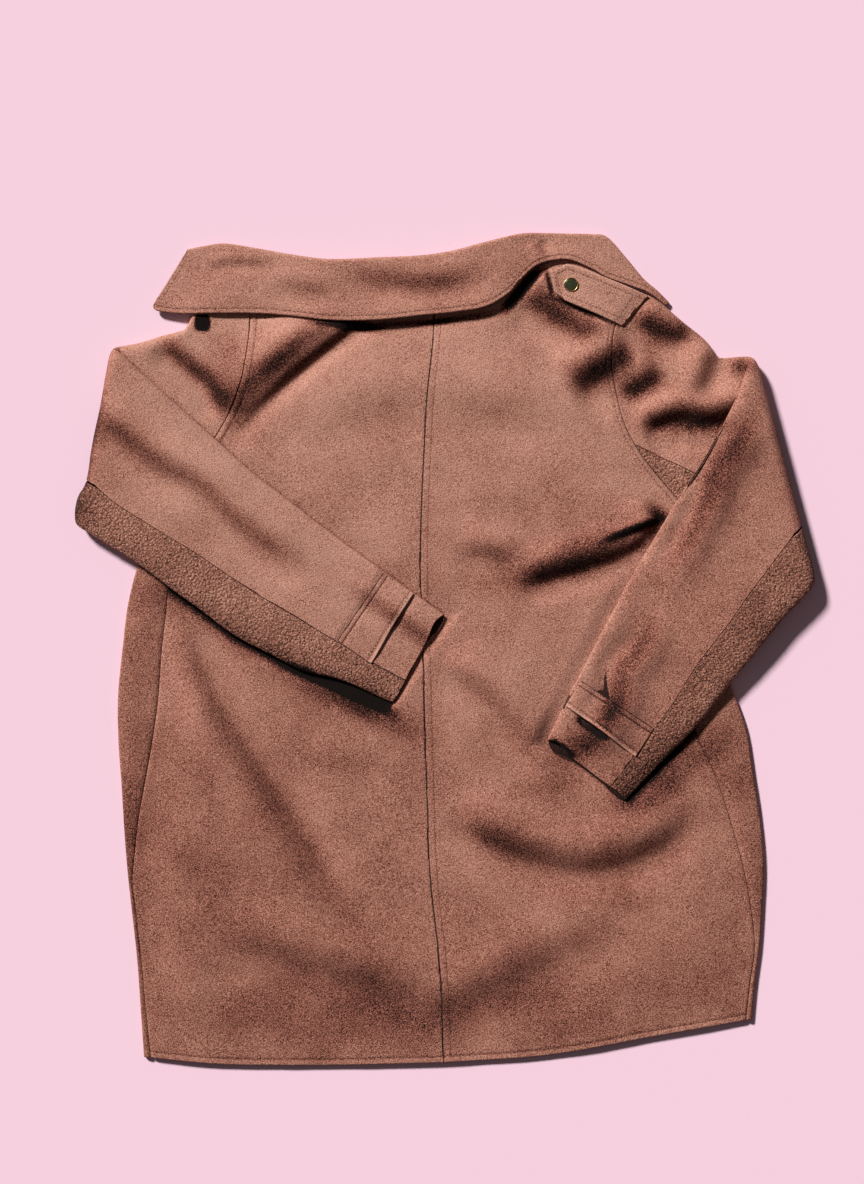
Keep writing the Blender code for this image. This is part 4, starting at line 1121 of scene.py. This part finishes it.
def build_back(side, step=2.9):
    """One back, in rows from the centre seam to the side seam and then to the armhole."""
    sign = -1 if side == "left" else 1
    levels = seam_rows(side, step)
    seam = np.column_stack([SIDE[side].at("seam", levels), levels])
    hole_across = armhole_rows(side, step)
    hole = armhole_point(side, hole_across)
    outer = np.concatenate([seam, hole])
    share = (outer[:, 1] - outer[0, 1]) / (outer[-1, 1] - outer[0, 1])
    middle_y = mix(HEM[side]["y"][0], BACK_TOP[side]["y"][0], share)
    inner = np.column_stack([CENTRE_SEAM.at("x", middle_y) + sign * CENTRE_GAP, middle_y])
    top_end = outer[-1]
    near_centre = (0, 0.6, 1.3, 2.6, 4.0, 5.4, 6.6, 7.7, 8.8, 10.2, 12.5, 15.5)
    near_edge = (0, 1.3, 2.6, 4.0, 5.0, 6.0, 7.2, 8.4, 10, 12.5, 15.5)
    widths = apart(outer, inner)
    count = int(300 / step)
    across = np.array([spread(width, near_centre, near_edge, count) / width for width in widths])

    def hem(t):
        return np.column_stack([mix(inner[0, 0], outer[0, 0], t), HEM[side].at("y", t)])

    def neck(t):
        x = BACK_TOP[side].at("x", t) + (inner[-1, 0] - CENTRE_SEAM.at("x", middle_y[-1]))
        y = BACK_TOP[side].at("y", t)
        ends = np.column_stack([x - x[-1] + top_end[0], y - y[-1] + top_end[1]])
        return mix(np.column_stack([x, y]), ends, t[:, None])

    plan = patch(outer, inner, across, hem, neck, 4)
    x, y = plan[..., 0], plan[..., 1]
    back_relief, back_shade = fold_relief(x, y, BACK_FOLDS)
    shoulder_relief, shoulder_shade = fold_relief(x, y, SHOULDER_FOLDS)
    height = BACK_HEIGHT.at("middle", y) + back_relief
    height = soft_floor(height, LEAST_BACK_HEIGHT)
    height = under_sleeves(height, x, y)
    to_edge = apart(plan, outer[:, None, :])
    edge_height = np.concatenate([np.full(len(seam), STRIP_MID), armhole_height(side, hole_across)])
    height = mix(edge_height[:, None], height, smooth(to_edge / FROM_SEAM))
    from_top = apart(plan, plan[-1][None, :, :])
    height = mix(TOP_HEIGHT, height, smooth(from_top / FROM_TOP))
    from_hole = np.abs(curve_frame(x, y, armhole_line(side))[0])
    height += shoulder_relief * smooth((from_top - 2) / 20.0)
    height += rounded(with_height(plan, height), smooth(to_edge / 12.0))
    height = soft_floor(height, LEAST_BACK_HEIGHT - 1.0)
    ceiling = mix(UNDER_COLLAR_HEIGHT, FREE_HEIGHT, smooth((COLLAR_AT - y) / COLLAR_WIDTH))
    height = -soft_floor(-height, -ceiling, 0.6)
    # Seams, with the topstitch to the right of the centre seam, above the hem and by the armhole
    from_centre = np.abs(across * widths[:, None])
    from_hem = y - hem_line(side, x)
    height -= seam_roll(from_centre, 0.5, 0.8)
    height -= seam_roll(to_edge) * (np.arange(len(outer)) < len(seam))[:, None]
    height -= seam_roll(from_hole)
    if side == "right":
        height -= groove(from_centre, CENTRE_STITCH, 0.2)
    height += 0.4 * smooth(from_hole / 2.0) * smooth((WELT[side] + 1 - from_hole) / 2.5)
    height -= groove(from_hole, WELT[side])
    height -= groove(from_hem, HEM_STITCH)
    # The tone takes off the painted shade of the folds and the painted shadows beside the sleeves and under
    # the edges
    tone = tone_at(x, y) - back_shade - shoulder_shade - contact_shade(x, y) - patches_at(x, y, PAINTED_SHADOWS, 4)
    tone -= 2.2 * hump(from_centre, 0.55)
    if side == "right":
        tone -= 0.5 * hump(from_centre - CENTRE_STITCH, 1.0)
    tone -= 0.7 * hump(from_hole - WELT[side], 1.0)
    tone -= 0.9 * hump(from_hem - HEM_STITCH, 1.0)
    tone += 0.35 * smooth((6.0 - from_hem) / 1.5)
    points = with_height(plan, height)
    points[: len(seam), -1, 0] -= sign * SEAM_GAP
    flip = side == "left"
    piece = shell(f"back_panel_{side}", points, [SUEDE, WRONG_SIDE_IN_PAINTED_SHADE], flip=flip, tone=tone)
    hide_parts(f"back_{side}")
    return piece


def armhole_line(side):
    return armhole_point(side, np.linspace(*armhole_ends(side), 90))


def hem_line(side, x):
    """The hem's height in plan at each place across."""
    sign = -1 if side == "left" else 1
    inner_x = CENTRE_SEAM.at("x", HEM[side]["y"][0]) + sign * CENTRE_GAP
    outer_x = SIDE[side]["seam"][0]
    return HEM[side].at("y", np.clip((x - inner_x) / (outer_x - inner_x), 0, 1))


def build_front(side, step=6.0):
    """The front lies on the floor and turns up round the coat's side to the side seam."""
    sign = -1 if side == "left" else 1
    levels = seam_rows(side, step)
    hole = armhole_point(side, armhole_rows(side, step))
    seam = np.column_stack([SIDE[side].at("seam", levels), levels])
    turn_x = SIDE[side].at("outline", levels) - sign * EDGE_RADIUS
    outer = np.concatenate([np.column_stack([turn_x, levels]), hole])
    share = (outer[:, 1] - outer[0, 1]) / (outer[-1, 1] - outer[0, 1])
    lap = -sign * LAP_EDGE
    middle_y = mix(HEM[side]["y"][0], NECKLINE_BOTTOM, share)
    inner = np.column_stack([np.full(len(outer), lap), middle_y])
    neck_x, neck_y = FRONT_NECK[side]
    neck = Table("across x y", [
        (0, lap, NECKLINE_BOTTOM), (0.3, mix(lap, neck_x, 0.6), mix(NECKLINE_BOTTOM, neck_y, 0.3)),
        (0.58, neck_x, neck_y), (1, *outer[-1]),
    ])
    widths = apart(outer, inner)
    across = np.array([spread(width, (0, 1.5, 3.5), (0,), int(340 / step)) / width for width in widths])

    def hem(t):
        x = mix(lap, outer[0, 0], t)
        y = [HEM[name].at("y", np.clip(x / SIDE[name]["outline"][0], 0, 1)) for name in SIDES]
        return np.column_stack([x, np.where(x < 0, *y) + 1.5 * smooth((1 - t) / 0.1)])

    def top(t):
        return np.column_stack([neck.at("x", t), neck.at("y", t)])

    plan = patch(outer, inner, across, hem, top, 9)
    height = np.full(plan.shape[:2], FLOOR_MID)
    if side == "left":
        height += LAP_RISE * smooth((plan[..., 0] + LAP_EDGE + 2 * LAP_RAMP) / LAP_RAMP)
    flat = with_height(plan, height)
    angles = np.linspace(-math.pi / 2, math.pi / 2, 9)[1:]
    steps = (0.12, 0.25, 0.38, 0.5, 0.62, 0.74, 0.84, 0.92, 1.0)
    wrapped = []
    for row in range(len(outer)):
        at = min(row, len(levels) - 1)
        around = []
        for angle in angles:
            turn_out = turn_x[at] + sign * EDGE_RADIUS * math.cos(angle)
            around.append((turn_out, levels[at], FLOOR_MID + EDGE_RADIUS * (1 + math.sin(angle))))
        seam_x = seam[at, 0] + sign * SEAM_GAP
        if (turn_x[at] - seam_x) * sign < LEAST_STRIP:
            seam_x = turn_x[at] - sign * LEAST_STRIP
        wide = abs(turn_x[at] - seam_x)
        strip = []
        for t in steps:
            crown = 1.8 * math.sin(math.pi * t) * smooth(wide / 30.0)
            up = STRIP_MID + crown - seam_roll(wide * (1 - t))
            strip.append((mix(turn_x[at], seam_x, t), levels[at], up))
        wrapped.append(around + strip)
    points = np.concatenate([flat, np.array(wrapped)], axis=1)
    present = np.ones((points.shape[0] - 1, points.shape[1] - 1), bool)
    present[len(levels) - 1:, plan.shape[1] - 1:] = False
    flip = side == "right"
    tone = tone_at(points[..., 0], points[..., 1]) - 0.25
    cloths = [SUEDE, WRONG_SIDE_IN_PAINTED_SHADE]
    piece = shell(f"front_panel_{side}", points, cloths, present=present, flip=flip, tone=tone)
    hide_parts(f"front_{side}")
    return piece


# ---------------------------------------------------------------- collar and epaulette


def collar_frame(step):
    """One row of the collar's table: its values, both edges in plan, and the way between them."""
    row = {name: float(COLLAR.at(name, step)) for name in COLLAR.names[1:]}
    roll = np.array([row["roll_x"], row["roll_y"]])
    free = np.array([row["free_x"], row["free_y"]])
    towards = (free - roll) / np.hypot(*(free - roll))
    return row, roll, free, towards


TURN_STEPS = 10  # places round the roll edge
TIP_RADIUS = 8.0  # of the collar's rounded corner


def build_collar():
    """The fall turns over at the roll edge, and the band under it reaches down to the neck seam."""
    fall = []
    tones = []
    steps = np.concatenate([
        [0, 0.025, 0.055, 0.09, 0.13, 0.18, 0.24, 0.3], np.linspace(0.38, 18.9, 165), [18.94, 18.97, 19],
    ])
    for step in steps:
        row, roll, free, towards = collar_frame(step)
        centre = roll + towards * row["bend"]
        ring = []
        for angle in np.linspace(-math.pi / 2, math.pi / 2, TURN_STEPS):
            at = centre - towards * row["bend"] * math.cos(angle)
            ring.append((*at, row["roll_z"] - row["bend"] + row["bend"] * math.sin(angle)))
        from_tip = min(step / 0.34, 1.0)
        free = free - towards * TIP_RADIUS * (1 - math.sqrt(1 - (1 - from_tip) ** 2))
        width = np.hypot(*(free - centre))
        last = np.minimum((0, 1.6, 3.0, 4.2, 5.2, 6.2, 7.6, 9.5), width * np.linspace(0, 0.8, 8))
        places = spread(width, (0,), last, 16)[1:]
        for run in places:
            at = mix(centre, free, run / width)
            up = mix(row["roll_z"], row["free_z"], float(smooth(run / width)))
            ring.append((*at, up - groove(width - run, COLLAR_STITCH)))
        fall.append(ring)
        stitch_shade = -0.9 * hump(width - places - COLLAR_STITCH, 0.9)
        tones.append(np.concatenate([np.zeros(TURN_STEPS), stitch_shade]))
    fall = np.array(fall)
    up = up_facing(fall, False)
    relief, shade = fold_relief(fall[..., 0], fall[..., 1], COLLAR_FOLDS)
    fall[..., 2] += (relief + rounded(fall, 1.0)) * up
    # The tone takes off the painted shade of the collar's folds, and the whole collar is painted darker
    # against the light that its tilt catches
    tone = np.array(tones) + tone_at(fall[..., 0], fall[..., 1]) - shade - 0.3
    piece = shell("collar_top", fall, [SUEDE, WRONG_SIDE_IN_PAINTED_SHADE], DOUBLED, tone=tone)
    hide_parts("collar_fall")
    band = []
    for step in np.linspace(4, 10.5, 60):
        neck = np.array([float(STAND.at("neck_x", step)), float(STAND.at("neck_y", step))])
        row, roll, _, towards = collar_frame(step)
        end = roll + towards * (row["bend"] + BEND_SEAM_GAP / 2)
        end_z = row["roll_z"] - 2 * row["bend"]
        up_band = np.linspace(0, 1, 14)
        band.append([(*mix(neck, end, t), mix(STAND_NECK_Z, end_z, float(smooth(t)))) for t in up_band])
    stand = shell("collar_band", np.array(band), [SUEDE, WRONG_SIDE_IN_PAINTED_SHADE])
    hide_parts("collar_stand")
    return piece, stand


def epaulette_point(step, t):
    """A place in plan along the strap by step, and across it by t, from its upper edge."""
    upper = np.stack([EPAULETTE.at("upper_x", step), EPAULETTE.at("upper_y", step)], axis=-1)
    lower = np.stack([EPAULETTE.at("lower_x", step), EPAULETTE.at("lower_y", step)], axis=-1)
    return mix(upper, lower, np.asarray(t)[..., None])


def build_epaulette():
    steps = np.concatenate([[0, 0.03, 0.07], np.linspace(0.12, 3.8, 44), [3.88, 3.95, 4.0]])
    places = spread(1.0, (0, 0.035, 0.08, 0.12, 0.16, 0.2), (0, 0.035, 0.08, 0.12, 0.16, 0.2), 9)
    grid_step, grid_t = np.meshgrid(steps, places, indexing="ij")
    plan = epaulette_point(grid_step, grid_t)
    upper_edge = epaulette_point(grid_step, 0 * grid_t)
    lower_edge = epaulette_point(grid_step, 0 * grid_t + 1)
    side_away = np.minimum(grid_t, 1 - grid_t) * apart(upper_edge, lower_edge)
    tip = [tuple(epaulette_point(4.0, 0.0)), tuple(epaulette_point(4.0, 1.0))]
    tip_away, _ = curve_frame(plan[..., 0], plan[..., 1], np.array(tip))
    away = np.minimum(side_away, np.abs(tip_away))
    height = EPAULETTE.at("height", grid_step) - groove(away, EPAULETTE_STITCH)
    height += 0.25 * smooth(away / 3.0)
    height += 2.2 * smooth((grid_t - 0.5) / 0.5) * hump(grid_step - 1.8, 1.3)
    height += 1.4 * smooth((grid_step - 2.6) / 1.4) - 2.2 * smooth((0.5 - grid_step) / 0.5)
    points = with_height(plan, height)
    tone = tone_at(plan[..., 0], plan[..., 1]) - hump(away - EPAULETTE_STITCH, 0.9) + 0.1
    tone += 0.6 * smooth((2.0 - away) / 1.5)
    piece = shell("epaulette", points, [SUEDE, WRONG_SIDE_IN_PAINTED_SHADE], DOUBLED, flip=True, tone=tone)
    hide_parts("epaulette_right")
    return piece


def turned(name, profile, made, base, closed, steps=64):
    """A ring or cap turned about the snap's middle."""
    vertices = []
    faces = []
    count = len(profile)
    for i in range(steps):
        angle = 2 * math.pi * i / steps
        across, along = math.cos(angle), math.sin(angle)
        for radius, up in profile:
            vertices.append((SNAP_AT[0] + radius * across, SNAP_AT[1] + radius * along, base + up))
    for i in range(steps):
        after = (i + 1) % steps
        for j in range(count if closed else count - 1):
            nxt = (j + 1) % count
            faces.append((i * count + j, after * count + j, after * count + nxt, i * count + nxt))
    return add_object(name, vertices, faces, [made])


def build_snap():
    base = float(EPAULETTE.at("height", 2.0)) + DOUBLED / 2 + SEAM_GAP
    middle = (SNAP_RING_RADIUS + SNAP_RING_BORE) / 2
    half = (SNAP_RING_RADIUS - SNAP_RING_BORE) / 2
    ring_profile = [
        (middle + half * math.cos(a), SNAP_HEIGHT / 2 + SNAP_HEIGHT / 2 * math.sin(a))
        for a in np.linspace(0, 2 * math.pi, 17)[:-1]
    ]
    ring = turned("snap_rim", ring_profile, BRASS, base, closed=True)
    cap_profile = [
        (0.01, 0.0), (SNAP_CAP_RADIUS - 0.2, 0.0), (SNAP_CAP_RADIUS, 0.4), (SNAP_CAP_RADIUS, 0.8),
        (SNAP_CAP_RADIUS - 0.3, 1.05), (SNAP_CAP_RADIUS - 0.9, 1.15), (3.6, 1.0), (2.2, 1.05),
        (1.0, 1.2), (0.01, 1.25),
    ]
    cap = turned("snap_middle", cap_profile, OLIVE, base, closed=False)
    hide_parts("snap_ring")
    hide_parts("snap_cap")


# ---------------------------------------------------------------- stitches


def stitch_places(line):
    """Ends of each stitch along a line in plan."""
    line = np.asarray(line, float)
    run = runs(line)
    starts = np.arange(STITCH_PITCH / 2, run[-1] - STITCH_PITCH / 2, STITCH_PITCH)

    def at(where):
        return np.column_stack([np.interp(where, run, line[:, 0]), np.interp(where, run, line[:, 1])])

    return at(starts), at(starts + STITCH_LENGTH)


# Rings of a stitch: share of its length, share of its radius, and how far it dips into the cloth
STITCH_RINGS = ((0.0, 0.35, 0.5), (0.15, 0.85, 0.15), (0.5, 1.0, 0.0), (0.85, 0.85, 0.15), (1.0, 0.35, 0.5))
STITCH_SIDES = 6


def capsule(start, end):
    """A stitch: thin at both ends where it goes into the cloth."""
    axis = (end - start).normalized()
    side = axis.cross(Vector((0, 0, 1))).normalized()
    up = side.cross(axis)
    vertices = []
    for share, size, dip in STITCH_RINGS:
        middle = start.lerp(end, share) - up * (dip * STITCH_RADIUS * 1.4)
        for k in range(STITCH_SIDES):
            angle = 2 * math.pi * k / STITCH_SIDES
            around = side * math.cos(angle) + up * math.sin(angle)
            vertices.append(middle + around * STITCH_RADIUS * size)
    last_ring = (len(STITCH_RINGS) - 1) * STITCH_SIDES
    faces = [list(range(STITCH_SIDES))[::-1], [last_ring + k for k in range(STITCH_SIDES)]]
    for low in range(0, last_ring, STITCH_SIDES):
        high = low + STITCH_SIDES
        for k in range(STITCH_SIDES):
            after = (k + 1) % STITCH_SIDES
            faces.append([low + k, low + after, high + after, high + k])
    return vertices, faces


def sew(name, piece, lines):
    """Stitches that lie along the lines on top of the piece."""
    tree = BVHTree.FromObject(piece, bpy.context.evaluated_depsgraph_get())
    vertices = []
    faces = []
    for line in lines:
        starts, ends = stitch_places(line)
        for start, end in zip(starts, ends):
            found = []
            for x, y in (start, end):
                hit, normal, _, _ = tree.ray_cast(Vector((x * MM, y * MM, RAY_START)), DOWN)
                if hit is not None and normal.z > 0.3:
                    found.append(hit / MM - normal * STITCH_SINK)
            if len(found) < 2 or (found[0] - found[1]).length > 2 * STITCH_LENGTH:
                continue
            made, shape = capsule(*found)
            faces += [[len(vertices) + i for i in face] for face in shape]
            vertices += [tuple(v) for v in made]
    stitches = add_object(name, vertices, faces, [THREAD])


def offset_line(line, distance):
    """The line moved to its left by the distance."""
    line = np.asarray(line, float)
    along = np.gradient(line, axis=0)
    along = along / np.hypot(*along.T)[:, None]
    return line + np.column_stack([-along[:, 1], along[:, 0]]) * distance


def sleeve_line(side, along, across_start, across_end):
    """A line in plan across the folded-back sleeve."""
    across = np.linspace(across_start, across_end, 40)
    return sleeve_top(side, np.full(40, float(along)), across, 0.0)[:, :2]


# ---------------------------------------------------------------- put together


backs = {side: build_back(side) for side in SIDES}
fronts = {side: build_front(side) for side in SIDES}
sleeves = {side: build_sleeve(side) for side in SIDES}
tabs = {side: build_cuff_tab(side, sleeves[side][0]) for side in SIDES}
collar, band = build_collar()
epaulette = build_epaulette()
build_snap()

centre_y = np.linspace(-450, 375, 200)
centre_line = np.column_stack([CENTRE_SEAM.at("x", centre_y) + CENTRE_STITCH, centre_y])
jog_y = 52.0  # where the centre topstitch was stopped and started again
jog_x = CENTRE_SEAM.at("x", jog_y)
jog = [(jog_x + 2.0, jog_y + 1.0), (jog_x + CENTRE_STITCH, jog_y - 5.0)]
centre_lines = [centre_line[centre_y > jog_y], centre_line[centre_y < jog_y - 8], jog]
for side in SIDES:
    sign = -1 if side == "left" else 1
    hem_x = np.linspace(CENTRE_SEAM.at("x", -457) + sign * 2, SIDE[side]["seam"][0] - sign * 2, 120)
    rows = [np.column_stack([hem_x, hem_line(side, hem_x) + HEM_STITCH])]
    rows.append(offset_line(armhole_line(side), sign * WELT[side]))
    if side == "right":
        rows += centre_lines
    sew(f"stitches_back_{side}", backs[side], rows)

free_edge = np.array([collar_frame(step)[2] for step in np.linspace(0.3, 16.5, 150)])
short_edge = np.array([mix(collar_frame(0)[1], collar_frame(0)[2], t) for t in np.linspace(0.15, 0.95, 20)])
sew("stitches_collar", collar, [offset_line(edge, COLLAR_STITCH) for edge in (free_edge, short_edge)])
inset = [
    epaulette_point(np.linspace(0.25, 3.6, 40), np.full(40, 0.15)),
    epaulette_point(np.linspace(0.25, 3.6, 40), np.full(40, 0.85)),
    epaulette_point(np.full(12, 3.55), np.linspace(0.2, 0.8, 12)),
    epaulette_point(np.full(12, 0.3), np.linspace(0.15, 0.85, 12)),
]
sew("stitches_epaulette", epaulette, inset)
for side in SIDES:
    start, end, upper, lower = SLEEVE[side]["tab"]
    places = (start + TAB_SEWN_STITCH, end - TAB_FREE_STITCH)
    rows = [sleeve_line(side, place, upper + 6, lower - 4) for place in places]
    sew(f"stitches_tab_{side}", tabs[side], rows)

# ---------------------------------------------------------------- each sleeve's two pieces, unpacked

for side in SIDES:
    upper, under = sleeves[side]

# ---------------------------------------------------------------- floor, light and camera


FLOOR_REACH = 60.0  # metres from the middle, past all that the camera sees
KEY_PLACE = (-1.78, 1.96, 1.79)  # the light comes from here, low on the left past the collar
KEY_SPREAD = 9.0  # degrees, for soft shadow edges
KEY_STRENGTH = 5.6
FILL_STRENGTH = 0.09


def build_floor():
    made, shader = new_material("floor")
    shader.inputs["Base Color"].default_value = (0.84, 0.586, 0.695, 1)
    shader.inputs["Roughness"].default_value = 0.95
    mesh = bpy.data.meshes.new("floor")
    corners = [(x * FLOOR_REACH, y * FLOOR_REACH, 0) for x, y in ((-1, -1), (1, -1), (1, 1), (-1, 1))]
    mesh.from_pydata(corners, [], [(0, 1, 2, 3)])
    mesh.materials.append(made)
    put_in_scene("floor", mesh)


def aim(thing, place, target):
    thing.location = place
    thing.rotation_euler = (Vector(target) - Vector(place)).to_track_quat("-Z", "Y").to_euler()


build_floor()
key = bpy.data.lights.new("key", "SUN")
key.angle = math.radians(KEY_SPREAD)
key.energy = KEY_STRENGTH
key.color = (1.0, 0.98, 0.96)
aim(put_in_scene("key", key), KEY_PLACE, (0.0, 0.0, 0.0))
world = bpy.data.worlds.new("studio")
world.use_nodes = True
background = world.node_tree.nodes["Background"]
background.inputs["Color"].default_value = (1.0, 0.88, 0.88, 1)
background.inputs["Strength"].default_value = FILL_STRENGTH
bpy.context.scene.world = world

TILT = math.radians(1.5)  # of the camera from straight above
DISTANCE = 3.0
TARGET = (-0.012, 0.062, 0.01)
camera_data = bpy.data.cameras.new("camera")
camera_data.lens = 82.5
camera_data.sensor_width = 36
camera = put_in_scene("camera", camera_data)
camera_offset = Vector((0, -math.sin(TILT), math.cos(TILT))) * DISTANCE
aim(camera, Vector(TARGET) + camera_offset, TARGET)
bpy.context.scene.camera = camera
bpy.context.scene.view_settings.view_transform = "Standard"
